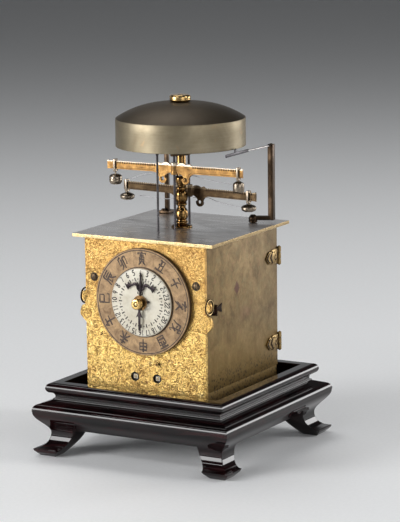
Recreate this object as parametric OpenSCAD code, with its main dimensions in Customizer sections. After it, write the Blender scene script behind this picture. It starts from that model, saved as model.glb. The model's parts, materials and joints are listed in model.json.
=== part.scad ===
// Table clock with two foliot balances, a turning day dial and a striking bell,
// standing in the tray of a low wooden stand. The front looks along -Y, +Z is up,
// and the origin is on the floor, under the middle of the clock.

/* [Stand] */
// Half width of the stand at its widest moulding
stand_half = 79.3; // [78:0.1:84]
// Height of the rail top above the floor
rail_top_z = 52.3; // [52:0.1:54]
// Half width of the opening inside the rails
tray_half = 62; // [60:0.5:64]
// Height of the tray floor
tray_floor_z = 42; // [42:0.5:43]

/* [Case] */
// Width of the case
case_w = 97.2; // [96:0.4:98]
// Depth of the case, over front and rear plates
case_d = 105.4; // [105:0.2:106]
// Height of the top of the top plate
top_z = 159.1; // [158:0.1:160]
// Width of the square top plate
top_w = 113; // [110:1:120]
// Thickness of the case plates
plate_t = 2.4; // [2:0.1:2.4]

/* [Dial] */
// Height of the dial centre
dial_z = 114.4; // [113:0.1:115]
// Outer radius of the dial ring
ring_r = 38; // [36:0.5:39]
// Radius of the enamel disc
enamel_r = 24.2; // [20:0.1:25]
// Angle by which the hour hand leans clockwise
hour_hand_tilt = 2.5; // [0:0.5:8]

/* [Bell] */
// Outer radius of the bell
bell_r = 46.15; // [45:0.05:46.5]
// Height of the bell's rim
bell_rim_z = 217.6; // [217:0.1:219]
// Height of the top of the bell's straight band
bell_band_z = 237.3; // [234:0.1:240]
// Height of the bell's crown
bell_top_z = 248.6; // [246:0.1:252]
// Thickness of the bell's wall
bell_t = 1.8; // [1:0.1:2.5]

/* [Balances] */
// Half length of the front foliot arm
front_arm = 55; // [52:0.5:56]
// Height of the middle of the front foliot arm
front_arm_z = 201.9; // [201:0.1:203]
// Half length of the rear foliot arm
rear_arm = 57.2; // [53:0.2:58]
// Height of the middle of the rear foliot arm
rear_arm_z = 183.3; // [183:0.1:184]
// Angle at which the rear foliot stands
rear_arm_deg = -5; // [-8:1:4]
// Distance between the notches of an arm
notch_pitch = 1.9; // [1.5:0.1:2.2]

/* [Movement] */
// Module of the train wheels
train_module = 0.6; // [0.6:0.6:0.6]
// Teeth of each train wheel
wheel_teeth = 45; // [45:1:45]
// Leaves of each train pinion
pinion_leaves = 9; // [9:1:9]
// Teeth of the dial wheel
dial_teeth = 90; // [90:1:90]
// Teeth of the count wheel
count_teeth = 50; // [50:1:50]
// Teeth of each crown wheel
crown_teeth = 21; // [15:2:27]

/* [Hidden] */

// Running clearance of a pivot in its hole, and a gap between parts that pass
fit = 0.05;
gap = 0.4;

// Case
case_x = case_w / 2;
case_y = case_d / 2;
under_top_z = top_z - 2.5;
sill_z = rail_top_z + 0.7;
door_t = 1.6;
door_in_x = case_x - door_t;
hinge_x = case_x + 1;
hinge_y = case_y + 1;
knuckle_r = 1.4;
hinge_pin_r = 0.7;
hinge_zs = [133.5, 70.5];
hasp_pin_x = case_x + 2.2;
hasp_pin_y = -42.4;
hasp_z = 114.2;

// Arbors, seen from the front as [x, z]
going_xz = [-9, 59.8];
strike_xz = [9, 59.8];
dial_xz = [0, dial_z];
escape_xz = [0, 122];
wheel_r = train_module * wheel_teeth / 2;
pinion_r = train_module * pinion_leaves / 2;
mesh_d = wheel_r + pinion_r;
dial_module = 0.8;
dial_wheel_r = dial_module * dial_teeth / 2;
dial_pinion_r = dial_module * pinion_leaves / 2;
second_xz = meet(going_xz, mesh_d, dial_xz, dial_wheel_r + dial_pinion_r, 1);
third_xz = meet(second_xz, mesh_d, escape_xz, 32, 1);
fourth_xz = meet(third_xz, mesh_d, escape_xz, mesh_d, 1);
pin_xz = strike_xz + mesh_d * [cos(75), sin(75)];
locking_xz = pin_xz + mesh_d * [cos(100), sin(100)];
fly_xz = locking_xz + mesh_d * [cos(80), sin(80)];
count_r = train_module * count_teeth / 2;
count_xz = pin_xz + (count_r + pinion_r) * [cos(160), sin(160)];

// Movement bars, front face and thickness in y
bar_t = 2.4;
front_bar_y = -40;
middle_bar_y = 14;
rear_bar_y = 40.6;
pivot_r = 0.6;
winding_r = 1.6;

// Upright arbors
front_verge_y = -9.5;
rear_verge_y = 11;
verge_r = 0.9;
verge_pivot_r = 0.7;
verge_foot_z = 107.5;
cock_z = 211;
cock_xy = [-38.8, 46];
alarm_xy = [-5, -24.5];
hammer_xy = [37.8, 36.5];
post_xy = [50, 42];
hammer_z = 215;
arm_t = 1.6;
arm_h = 5.8;

// Point where circles round p and q meet, on one side of the line between them
function meet(p, rp, q, rq, side) =
  let (d = norm(q - p), a = (rp * rp - rq * rq + d * d) / (2 * d), u = (q - p) / d)
  p + a * u + side * sqrt(rp * rp - a * a) * [-u[1], u[0]];

// Points of an arc in a plane
function arc(centre, r, from, to, steps) =
  [for (i = [0:steps]) let (a = from + (to - from) * i / steps)
    centre + r * [cos(a), sin(a)]];

// Angle that a tooth of an involute wheel takes up, half its width, at radius r
function half_tooth(r, base_r, pitch_r, teeth, backlash) =
  let (a = acos(min(1, base_r / max(r, base_r))), p = acos(base_r / pitch_r))
  90 / teeth - backlash / pitch_r * 90 / PI
  + (tan(p) - p * PI / 180 - tan(a) + a * PI / 180) * 180 / PI;

// Outline of an involute wheel, with a tooth on the angle turn
function gear_outline(teeth, module_mm, turn) =
  let (pitch_r = teeth * module_mm / 2, base_r = pitch_r * cos(25),
       tip_r = pitch_r + 0.78 * module_mm, root_r = pitch_r - 1.05 * module_mm,
       rs = [root_r, max(base_r, root_r + 0.05), pitch_r, tip_r])
  [for (k = [0:teeth - 1], side = [-1, 1], j = [0:3])
    let (r = side < 0 ? rs[j] : rs[3 - j],
         a = turn + 360 * k / teeth
             + side * half_tooth(r, base_r, pitch_r, teeth, 0.16 * module_mm))
    [r * cos(a), r * sin(a)]];

// Angle, seen from the front, of the line from p to q
function bearing(p, q) = atan2(q[1] - p[1], q[0] - p[0]);

// Places something drawn in x and z, thickness along +Y, on an arbor
module on_arbor(xz, y) {
  translate([xz[0], y, xz[1]]) rotate([90, 0, 0]) mirror([0, 0, 1]) children();
}

// Round bar along +Y
module rod_y(xz, y0, y1, r) {
  on_arbor(xz, y0) cylinder(h = y1 - y0, r = r, $fn = 32);
}

// Round bar along +Z
module rod_z(xy, z0, z1, r) {
  translate([xy[0], xy[1], z0]) cylinder(h = z1 - z0, r = r, $fn = 32);
}

// Toothed disc with crossings, and its hole
module wheel(xz, y, t, teeth, module_mm, turn, hole_r, hub_r) {
  pitch_r = teeth * module_mm / 2;
  rim_r = pitch_r - 1.05 * module_mm - 1.4;
  on_arbor(xz, y) difference() {
    linear_extrude(t) polygon(gear_outline(teeth, module_mm, turn));
    translate([0, 0, -1]) cylinder(h = t + 2, r = hole_r, $fn = 32);
    for (q = [0:3]) rotate(45 + 90 * q) translate([0, 0, -1]) linear_extrude(t + 2)
      polygon(concat(arc([0, 0], rim_r, -36, 36, 8), arc([0, 0], hub_r, 18, -18, 3)));
  }
}

module pinion(xz, y, t, turn, module_mm) {
  on_arbor(xz, y) linear_extrude(t)
    polygon(gear_outline(pinion_leaves, module_mm, turn));
}

// Train arbor with a pivot at each end, running between two bars
module arbor(xz, y0, y1, r) {
  rod_y(xz, y0 + bar_t + 0.3, y1 - 0.3, r);
  rod_y(xz, y0 + 0.3, y1 + bar_t - 0.3, pivot_r);
}

// Tooth angle of a pinion or wheel so that it meshes with a neighbour.
// from_turn is the neighbour's tooth angle and dir the bearing from it to here
function mesh_turn(from_turn, from_teeth, dir, teeth) =
  let (phase = (dir - from_turn) * from_teeth / 360)
  dir + 180 + (phase + 0.5) * 360 / teeth;

// Tooth angles through the going train, from the great wheel up
great_turn = 0;
second_pinion_turn =
  mesh_turn(great_turn, wheel_teeth, bearing(going_xz, second_xz), pinion_leaves);
third_pinion_turn =
  mesh_turn(0, wheel_teeth, bearing(second_xz, third_xz), pinion_leaves);
fourth_pinion_turn =
  mesh_turn(0, wheel_teeth, bearing(third_xz, fourth_xz), pinion_leaves);
escape_pinion_turn =
  mesh_turn(0, wheel_teeth, bearing(fourth_xz, escape_xz), pinion_leaves);
dial_wheel_turn =
  mesh_turn(0, pinion_leaves, bearing(second_xz, dial_xz), dial_teeth);

// Tooth angles through the striking train
pin_pinion_turn =
  mesh_turn(0, wheel_teeth, bearing(strike_xz, pin_xz), pinion_leaves);
locking_pinion_turn =
  mesh_turn(0, wheel_teeth, bearing(pin_xz, locking_xz), pinion_leaves);
fly_pinion_turn =
  mesh_turn(0, wheel_teeth, bearing(locking_xz, fly_xz), pinion_leaves);
count_turn = mesh_turn(0, pinion_leaves, bearing(pin_xz, count_xz), count_teeth);

// Stand: outline of a rail as [distance from the middle, height]
bead_c = [68.4, rail_top_z - 3.7];
bulge_c = [stand_half - 4.4, 33.2];
knee = [69.6, 16.2];
apron_z = 20.2;
bulge_end_z = 31.7;
apron_in = 54;
ledge_z = tray_floor_z - 4;

function ogee(z) =
  knee[0] + (stand_half - 0.27 - knee[0])
  * (1 + cos(180 * (bulge_end_z - z) / (bulge_end_z - knee[1]))) / 2;

rail_outline = concat(
  [[tray_half, rail_top_z]],
  arc(bead_c, 3.7, 90, -60, 8),
  arc([70, 42.3], 3.1, 95, 180, 5),
  [[66.9, 41.2]],
  arc([67.6, 40.5], 0.7, 90, 0, 3),
  [[68.3, 40.1]],
  arc(bulge_c, 4.4, 72, -20, 7),
  [for (i = [1:6]) let (z = bulge_end_z - (bulge_end_z - apron_z) * i / 6) [ogee(z), z]],
  [[apron_in, apron_z], [apron_in, ledge_z], [tray_half, ledge_z]]
);

// Leg: outline of one side as [distance from the middle, height]
toe_z = 5.2;
toe_half = stand_half - 0.2;
foot_in = 63.2;
leg_in = 50.5;
leg_outline = concat(
  [for (i = [0:3]) let (z = apron_z - (apron_z - knee[1]) * i / 4) [ogee(z), z]],
  [for (a = [0:15:90])
    [toe_half - (toe_half - knee[0]) * cos(a), knee[1] - (knee[1] - toe_z) * sin(a)]],
  [[toe_half - 0.6, toe_z - 1.6], [toe_half - 4.2, 0], [foot_in, 0]],
  [for (i = [1:6]) let (z = apron_z * i / 6)
    [leg_in + (foot_in - leg_in) * (1 - sin(90 * z / apron_z)), z]]
);

// Rail along X at the front, cut to its mitres; turned for the other sides
module rail(turn) {
  reach = 90;
  rotate(turn) intersection() {
    translate([-reach, 0, 0]) rotate([90, 0, 90]) linear_extrude(2 * reach)
      polygon([for (p = rail_outline) [-p[0], p[1]]]);
    linear_extrude(60) polygon([[0, 0], [-reach, -reach], [reach, -reach]]);
  }
}

module leg(side_x, side_y) {
  color([0.1, 0.05, 0.05]) intersection() {
    translate([-100, 0, 0]) rotate([90, 0, 90]) linear_extrude(200)
      polygon([for (p = leg_outline) [side_y * p[0], p[1]]]);
    translate([0, 100, 0]) rotate([90, 0, 0]) linear_extrude(200)
      polygon([for (p = leg_outline) [side_x * p[0], p[1]]]);
  }
}

module rail_front() { color([0.1, 0.05, 0.05]) rail(0); }
module rail_right() { color([0.1, 0.05, 0.05]) rail(90); }
module rail_rear() { color([0.1, 0.05, 0.05]) rail(180); }
module rail_left() { color([0.1, 0.05, 0.05]) rail(270); }

module tray_floor() {
  side = 2 * (tray_half - 0.05);
  color([0.08, 0.05, 0.05])
    translate([-side / 2, -side / 2, ledge_z]) cube([side, side, tray_floor_z - ledge_z]);
}

// Case plates
dial_hole_r = 4;
key_hole_r = 3.1;
screw_x = 41.3;
screw_z = 128.5;
peg_xz = [10.8, 70.4];
// Edge of the front plate as [distance outside the case, height]: an ear, a notch
// for the hasp's ring, and the tab that the ring drops over
plate_edge = [[0, 95.6], [4.4, 99.9], [4.9, 101.4], [4.7, 103.6], [3.9, 106], [3, 107.3],
              [0.9, 107.9], [0.9, 110.2], [2.8, 110.8], [3.9, 112.4], [4.2, 114.4],
              [3.9, 116.2], [2.8, 117.4], [0.9, 117.9], [0, 118.6]];

module front_plate() {
  color([0.85, 0.65, 0.3]) difference() {
    on_arbor([0, 0], -case_y) linear_extrude(plate_t) for (s = [-1, 1])
      polygon(concat([[0, tray_floor_z], [s * case_x, tray_floor_z]],
                     [for (p = plate_edge) [s * (case_x + p[0]), p[1]]],
                     [[s * case_x, under_top_z], [0, under_top_z]]));
    rod_y(dial_xz, -case_y - 1, -case_y + plate_t + 1, dial_hole_r);
    for (p = [going_xz, strike_xz])
      rod_y(p, -case_y - 1, -case_y + plate_t + 1, key_hole_r);
    rod_y(peg_xz, -case_y - 1, -case_y + plate_t + 1, 1);
    for (s = [-1, 1])
      rod_y([s * screw_x, screw_z], -case_y - 1, -case_y + plate_t + 1, 1.3);
  }
}

module front_screws() {
  color([0.55, 0.4, 0.2]) for (s = [-1, 1]) {
    rod_y([s * screw_x, screw_z], -case_y, -case_y + plate_t, 1.3);
    difference() {
      rod_y([s * screw_x, screw_z], -case_y - 0.9, -case_y, 2.5);
      translate([s * screw_x - 3, -case_y - 1.2, screw_z - 0.3]) cube([6, 0.8, 0.6]);
    }
  }
}

module rear_plate() {
  color([0.7, 0.55, 0.28])
    translate([-door_in_x + 0.3, case_y - plate_t, tray_floor_z])
    cube([2 * door_in_x - 0.6, plate_t, under_top_z - tray_floor_z]);
}

// Floor of the case with a low upstand under each door
module base_pan() {
  inner_y = case_y - plate_t;
  color([0.6, 0.47, 0.25]) {
    translate([-door_in_x, -inner_y, tray_floor_z]) cube([2 * door_in_x, 2 * inner_y, plate_t]);
    for (s = [-1, 1])
      translate([s * (case_x - door_t / 2) - door_t / 2, -inner_y, tray_floor_z])
        cube([door_t, 2 * inner_y, sill_z - tray_floor_z]);
  }
}

module top_plate() {
  color([0.62, 0.6, 0.58]) difference() {
    translate([-top_w / 2, -top_w / 2, under_top_z])
      cube([top_w, top_w, top_z - under_top_z]);
    rod_z([0, 0], under_top_z - 1, top_z + 1, 2.5);
    for (y = [front_verge_y, rear_verge_y])
      rod_z([0, y], under_top_z - 1, top_z + 1, 1.3);
    rod_z(alarm_xy, under_top_z - 1, top_z + 1, 0.8 + fit);
    rod_z(hammer_xy, under_top_z - 1, top_z + 1, 1.5 + fit);
  }
}

module corner_posts() {
  foot_z = tray_floor_z + plate_t;
  post_w = 5;
  post_x = door_in_x - gap - post_w / 2;
  inner_y = case_y - plate_t;
  color([0.7, 0.55, 0.3]) for (sx = [-1, 1], sy = [-1, 1])
    translate([sx * post_x - post_w / 2, sy * (inner_y - post_w / 2) - post_w / 2, foot_z])
      cube([post_w, post_w, under_top_z - foot_z]);
}

// Doors, drawn on the right and mirrored for the left
module door_panel() {
  front_y = -case_y + plate_t + 0.2;
  translate([door_in_x, front_y, sill_z + gap])
    cube([door_t, case_y - gap - front_y, under_top_z - gap - sill_z - gap]);
}

// Pointed strap with the door's knuckle
module door_strap(z) {
  strap_t = 1;
  strap_end = hinge_y - knuckle_r - 0.35;
  // Upper half of the outline as [y, height above the middle]
  upper = [[34.4, 0], [38.6, 4.4], [41.4, 4.4], [40.6, 3.2], [43.6, 5.4], [strap_end, 5.4]];
  difference() {
    union() {
      translate([case_x, 0, z]) rotate([90, 0, 90]) linear_extrude(strap_t)
        polygon(concat(upper, [for (i = [5:-1:1]) [upper[i][0], -upper[i][1]]]));
      translate([case_x, case_y - 2, z - 2.2]) cube([strap_t, hinge_y - case_y + 2, 4.4]);
      rod_z([hinge_x, hinge_y], z - 2.2, z + 2.2, knuckle_r);
    }
    rod_z([hinge_x, hinge_y], z - 3, z + 3, hinge_pin_r + fit);
  }
}

// Bow-shaped base, cheeks and pin that carry a hasp on the door
module hasp_mount() {
  low = hasp_z - 7.3;
  high = hasp_z + 0.3;
  translate([case_x, hasp_pin_y, hasp_z]) rotate([90, 0, 90]) linear_extrude(0.5)
    polygon([[-1.8, -7.3], [-1.8, 0.3], [4.6, -2.7], [9.8, -1], [9.8, -6.6], [4.6, -4.9]]);
  for (z = [low, high - 1]) {
    rod_z([hasp_pin_x, hasp_pin_y], z, z + 1, 1.3);
    translate([case_x, hasp_pin_y - 1.3, z]) cube([hasp_pin_x - case_x, 2.6, 1]);
  }
  rod_z([hasp_pin_x, hasp_pin_y], low, high, 0.6);
}

module door_fittings() {
  for (z = hinge_zs) door_strap(z);
  hasp_mount();
}

module door_right() { color([0.55, 0.47, 0.33]) door_panel(); }
module door_left() { color([0.55, 0.47, 0.33]) mirror([1, 0, 0]) door_panel(); }
module door_fittings_right() { color([0.5, 0.42, 0.3]) door_fittings(); }
module door_fittings_left() {
  color([0.5, 0.42, 0.3]) mirror([1, 0, 0]) door_fittings();
}

// Ring that drops over the tab of the front plate, turning on its own pin
module hasp() {
  ring_y = -case_y + 2;
  ring_x = case_x + 1.4;
  ring_out_r = 5.85;
  ring_in_r = 4.65;
  low = hasp_z - 6;
  high = hasp_z - 1;
  difference() {
    union() {
      translate([ring_x, ring_y, hasp_z]) rotate([0, 90, 0])
        cylinder(h = 1, r = ring_out_r, $fn = 48);
      translate([ring_x, ring_y + 4.1, hasp_z - 5.4])
        cube([1, hasp_pin_y - ring_y - 4.1, 3.6]);
      rod_z([hasp_pin_x, hasp_pin_y], low, high, 1.3);
    }
    translate([ring_x - 1, ring_y, hasp_z]) rotate([0, 90, 0])
      cylinder(h = 3, r = ring_in_r, $fn = 48);
    rod_z([hasp_pin_x, hasp_pin_y], low - 1, high + 1, 0.6 + fit);
  }
}

module hasp_right() { color([0.6, 0.5, 0.3]) hasp(); }
module hasp_left() { color([0.6, 0.5, 0.3]) mirror([1, 0, 0]) hasp(); }

// Fixed leaves on the rear plate with their knuckles and pins
module rear_hinge(z) {
  leaf_t = 1;
  leaf_in = 40;
  translate([leaf_in, case_y, z - 6.5]) cube([case_x - 1 - leaf_in, leaf_t, 13]);
  for (s = [-1, 1]) {
    translate([case_x - 2, case_y, z + s * 4.5 - 2]) cube([hinge_x - case_x + 2, leaf_t, 4]);
    rod_z([hinge_x, hinge_y], z + s * 4.5 - 2, z + s * 4.5 + 2, knuckle_r);
  }
  rod_z([hinge_x, hinge_y], z - 7.2, z + 7.2, hinge_pin_r);
}

module rear_hinges() {
  color([0.6, 0.48, 0.28]) for (z = hinge_zs) {
    rear_hinge(z);
    mirror([1, 0, 0]) rear_hinge(z);
  }
}

// Dial
tube_r = 1.7;
cannon_r = 3.2;
knob_r = 3.9;
ring_face_y = -case_y - 3.3;
enamel_y = -case_y - 5.5;
hour_hand_y = -case_y - 7;
alarm_hand_y = -case_y - 8.2;
knob_y = -case_y - 12.9;
alarm_r = 0.9;

module dial_ring() {
  wall = 1;
  color([0.72, 0.5, 0.36]) on_arbor(dial_xz, ring_face_y) difference() {
    cylinder(h = 2.9, r = ring_r, $fn = 128);
    translate([0, 0, 1.4]) cylinder(h = 3, r = ring_r - wall, $fn = 128);
    translate([0, 0, -1]) cylinder(h = 5, r = cannon_r, $fn = 48);
  }
}

module enamel_disc() {
  color([0.92, 0.9, 0.85]) on_arbor(dial_xz, enamel_y) difference() {
    union() {
      cylinder(h = 1.2, r = enamel_r, $fn = 128);
      cylinder(h = 2.2, r = 9, $fn = 64);
    }
    translate([0, 0, -1]) cylinder(h = 4, r = cannon_r, $fn = 48);
  }
}

module dial_wheel() {
  wheel_y = -45.8;
  color([0.75, 0.6, 0.3]) difference() {
    union() {
      rod_y(dial_xz, enamel_y, wheel_y + 1.2, cannon_r);
      rod_y(dial_xz, wheel_y - 1, wheel_y + 2.2, 6);
      wheel(dial_xz, wheel_y, 1.2, dial_teeth, dial_module, dial_wheel_turn, 3, 6);
    }
    rod_y(dial_xz, enamel_y - 2, wheel_y + 3, tube_r + fit);
  }
}

module centre_tube() {
  color([0.7, 0.55, 0.3]) difference() {
    rod_y(dial_xz, hour_hand_y - 0.3, front_bar_y + bar_t, tube_r);
    rod_y(dial_xz, hour_hand_y - 2, front_bar_y + bar_t + 1, alarm_r + fit);
  }
}

// Hands are drawn lying flat, pointing along +Y
module side_branch() {
  polygon([[0.3, 9.4], [1.6, 11], [3.9, 16.2], [1.4, 14], [0.3, 12.6]]);
  polygon([[0.7, 8.2], [2.6, 9.4], [3.6, 12], [4.6, 12.4], [6.6, 11.2], [8.4, 10.4],
           [9.8, 8.2], [11.2, 9.8], [12.5, 12.2], [10.2, 12.4], [9.4, 14.4], [8.6, 12.6],
           [6.8, 12.9], [4.6, 14.2], [2.9, 13.8], [1.6, 10.8]]);
}

module hour_hand() {
  t = 0.6;
  hub_back = 1.2;
  color([0.15, 0.13, 0.14]) on_arbor(dial_xz, hour_hand_y) rotate(-hour_hand_tilt)
    difference() {
      union() {
        linear_extrude(t) union() {
          circle(r = 5.4, $fn = 64);
          translate([6.4, 1.4]) circle(r = 1.1, $fn = 24);
          polygon([[-0.6, 5], [-0.5, 7.4], [-1.6, 9.6], [-1.4, 12], [-0.7, 15.4],
                   [-0.4, 18.8], [-0.9, 19.4], [0, 22], [0.9, 19.4], [0.4, 18.8],
                   [0.7, 15.4], [1.4, 12], [1.6, 9.6], [0.5, 7.4], [0.6, 5]]);
          side_branch();
          mirror([1, 0, 0]) side_branch();
        }
        cylinder(h = hub_back, r = 2.6, $fn = 48);
      }
      translate([0, 0, -1]) cylinder(h = hub_back + 2, r = tube_r, $fn = 48);
    }
}

module alarm_hand() {
  color([0.15, 0.13, 0.14]) on_arbor(dial_xz, alarm_hand_y) difference() {
    linear_extrude(0.6) union() {
      circle(r = 2.4, $fn = 48);
      polygon([[-0.6, -2], [-0.5, -7.2], [-2, -9.8], [-0.5, -9], [-0.5, -19.6], [0.5, -19.6],
               [0.5, -9], [2, -9.8], [0.5, -7.2], [0.6, -2]]);
    }
    translate([0, 0, -1]) cylinder(h = 3, r = alarm_r, $fn = 32);
  }
}

// Knob in front, its long arbor through the tube, and the alarm disc behind
module setting_knob() {
  disc_y = front_bar_y + bar_t + 0.6;
  color([0.8, 0.62, 0.28]) {
    rod_y(dial_xz, knob_y, disc_y + 2, alarm_r);
    on_arbor(dial_xz, knob_y) difference() {
      cylinder(h = 4.5, r = knob_r, $fn = 64);
      translate([0, 0, -1]) cylinder(h = 1.3, r = 1.7, $fn = 48);
    }
    on_arbor(dial_xz, disc_y) difference() {
      cylinder(h = 1.2, r = 8, $fn = 64);
      translate([6, -1, -1]) cube([4, 2, 4]);
    }
  }
}

// Pillar, bell and cock above the top plate
module pillar() {
  // [height above the top plate, radius] of the turned profile
  profile = [[0, 7.5], [1.1, 7.5], [1.7, 5.2], [2.4, 3.6], [3.2, 4.4], [4.2, 4.4], [5, 3.4],
             [6.6, 4.3], [9.5, 4.7], [12.4, 4], [14, 3], [15, 2.8], [15.8, 3.9],
             [17, 3.9], [17.6, 3.2], [19, 4.3], [22, 4.6], [25, 4.3], [26.5, 3.2],
             [27.2, 4.1], [28.4, 4.1], [29.2, 3.1], [31, 3.7], [33, 4.4], [35, 4.6],
             [36.4, 3.9], [37.4, 3.3], [40, 3.3], [41, 4.2], [42.4, 4.2], [43.4, 3.4],
             [86, 3.2], [87, 4.8]];
  seat_z = bell_top_z - bell_t;
  color([0.75, 0.55, 0.22]) {
    rotate_extrude($fn = 64) polygon(concat(
      [[0, under_top_z], [2.5, under_top_z], [2.5, top_z]],
      [for (p = profile) [p[1], top_z + p[0]]],
      [[4.8, seat_z], [2.1, seat_z], [2.1, bell_top_z + 3.2], [0, bell_top_z + 3.2]]));
  }
}

// Half section of the bell, shrunk by its wall for the inside. The dome starts at a
// crease and flattens towards the crown
function bell_section(inset) =
  let (r = bell_r - inset, z = bell_top_z - inset, shoulder = bell_band_z - inset)
  concat([[r, bell_rim_z], [r, shoulder]],
         [for (k = [0.96, 0.91, 0.85, 0.77, 0.68, 0.57, 0.45, 0.32, 0.2])
           [r * k, shoulder + (z - shoulder) * (1 - pow(k, 2.7))]], [[5.5, z]]);

module bell() {
  color([0.72, 0.7, 0.6]) rotate_extrude($fn = 128) polygon(concat(
    bell_section(0), [[2.2, bell_top_z], [2.2, bell_top_z - bell_t]],
    [for (i = [len(bell_section(bell_t)) - 1:-1:0]) bell_section(bell_t)[i]]));
}

module bell_nut() {
  color([0.75, 0.55, 0.25]) translate([0, 0, bell_top_z]) difference() {
    rotate_extrude($fn = 64) polygon([[0, 0], [5.8, 0], [6.9, 0.5], [7.5, 1.3],
      [7.6, 2.4], [7.5, 3.6], [7.1, 4.4], [6.3, 4.9], [5, 5.1], [0, 5.3]]);
    translate([0, 0, -1]) cylinder(h = 4.2, r = 2.1, $fn = 48);
  }
}

module verge_cock() {
  bar_h = 3;
  bar_w = 3;
  ring_in = 5.2;
  reach = cock_xy - [0, rear_verge_y];
  color([0.65, 0.5, 0.25]) difference() {
    union() {
      translate([cock_xy[0] - 4.5, cock_xy[1] - 5, top_z]) cube([8, 10, 2.4]);
      translate([cock_xy[0] - bar_w / 2, cock_xy[1] - bar_w / 2, top_z])
        cube([bar_w, bar_w, cock_z + bar_h + 0.6 - top_z]);
      translate([0, rear_verge_y, cock_z]) rotate(atan2(reach[1], reach[0]))
        translate([0, -bar_w / 2, 0]) cube([norm(reach), bar_w, bar_h]);
      rod_z([0, 0], cock_z, cock_z + bar_h, ring_in + 2.2);
      translate([-2, 6, cock_z]) cube([4, 4, bar_h]);
      rod_z([0, front_verge_y], cock_z, cock_z + bar_h, 2.8);
      rod_z([0, rear_verge_y], cock_z, cock_z + bar_h, 2.8);
    }
    rod_z([0, 0], cock_z - 1, cock_z + bar_h + 1, ring_in);
    for (y = [front_verge_y, rear_verge_y])
      rod_z([0, y], cock_z - 1, cock_z + bar_h + 1, verge_pivot_r + fit);
  }
}

// Verges: staff, pivots and the two pallets, which face the crown wheel
module verge(y, face) {
  pallet_l = 2.2;
  color([0.7, 0.7, 0.72]) {
    rod_z([0, y], verge_foot_z + 2.6, cock_z - 0.4, verge_r);
    rod_z([0, y], verge_foot_z, cock_z + 2.8, verge_pivot_r);
    for (s = [-1, 1])
      translate([0, y, escape_xz[1] + s * 8.6 - 1]) rotate(face * (90 + s * 48))
        translate([0, -0.3, 0]) cube([pallet_l, 0.6, 2]);
  }
}

module front_verge() { verge(front_verge_y, 1); }
module rear_verge() { verge(rear_verge_y, -1); }

// Foliot arm seen from the front: notched along the top, with scrolls at the hub
notch_from = 15;
notch_depth = 1.2;
function notches(half, top) =
  [for (k = [0:floor((half - 4 - notch_from) / notch_pitch)], p = [0:2])
    let (x = notch_from + k * notch_pitch)
    p == 0 ? [x, top] : p == 1 ? [x + 0.35 * notch_pitch, top - notch_depth] : [x + 0.7 * notch_pitch, top]];

module foliot_half(half) {
  h = arm_h / 2;
  polygon(concat([[0, h], [4, h + 1.4], [8, h + 1.4], [11, h + 0.4], [notch_from - 0.5, h]],
                 notches(half, h),
                 [[half - 1.1, h], [half - 0.8, h + 0.4], [half, h + 0.3], [half, -h - 0.3],
                  [half - 1, -h], [16, -h], [13, -h - 1.2], [11.6, -h - 3.4]],
                 arc([9.3, -h - 4.6], 3.1, 20, -200, 9),
                 [[6.4, -h - 2.2], [4.6, -h], [0, -h]]));
}

module foliot(y, z, half) {
  color([0.78, 0.6, 0.3]) translate([0, y, z]) difference() {
    union() {
      translate([0, -arm_t / 2, 0]) rotate([90, 0, 0]) mirror([0, 0, 1])
        linear_extrude(arm_t) union() {
          foliot_half(half);
          mirror([1, 0]) foliot_half(half);
        }
      translate([0, 0, -4]) cylinder(h = 8.6, r = 2.6, $fn = 48);
    }
    translate([0, 0, -10]) cylinder(h = 20, r = verge_r, $fn = 48);
    for (s = [-1, 1])
      translate([s * 9.3, -2, -arm_h / 2 - 4.4]) rotate([-90, 0, 0])
        cylinder(h = 4, r = 1.4, $fn = 32);
  }
}

module front_foliot() { foliot(front_verge_y, front_arm_z, front_arm); }
module rear_foliot() {
  translate([0, rear_verge_y, 0]) rotate(rear_arm_deg) foliot(0, rear_arm_z, rear_arm);
}

// Weight on a stirrup that hangs over the arm, drawn at x = 0
module bob(drop, r, h) {
  top = arm_h / 2 + 0.4;
  foot = -arm_h / 2 - 1;
  slot = arm_t / 2 + 0.35;
  half_w = 0.9;
  translate([-half_w, -slot - 0.9, foot - 0.9]) cube([2 * half_w, 0.9, top + 0.9 - foot + 0.9]);
  translate([-half_w, slot, foot - 0.9]) cube([2 * half_w, 0.9, top + 0.9 - foot + 0.9]);
  translate([-half_w, -slot, top]) cube([2 * half_w, 2 * slot, 0.9]);
  translate([-half_w, -slot, foot - 0.9]) cube([2 * half_w, 2 * slot, 0.9]);
  translate([0, 0, foot - 0.9 - drop]) cylinder(h = drop, r = 0.9, $fn = 24);
  translate([0, 0, foot - 0.9 - drop - h]) rotate_extrude($fn = 48) polygon([[0, 0],
    [0.7 * r, 0], [0.93 * r, 0.12 * h], [r, 0.4 * h], [0.97 * r, 0.75 * h],
    [0.75 * r, h], [0, h]]);
}

// Notch at which each weight hangs, as the distance from the hub
bob_x = [-48.7, 51.6, -54.8, 51];

module bob_front_left() {
  color([0.6, 0.58, 0.5]) translate([bob_x[0], front_verge_y, front_arm_z]) bob(1.8, 4.7, 7.4);
}
module bob_front_right() {
  color([0.7, 0.68, 0.6]) translate([bob_x[1], front_verge_y, front_arm_z]) bob(0.6, 4, 8);
}
module rear_bob(x) {
  color([0.6, 0.5, 0.35]) translate([0, rear_verge_y, rear_arm_z]) rotate(rear_arm_deg)
    translate([x, 0, 0]) bob(0.6, 5.4, 5.2);
}
module bob_rear_left() { rear_bob(bob_x[2]); }
module bob_rear_right() { rear_bob(bob_x[3]); }

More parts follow.
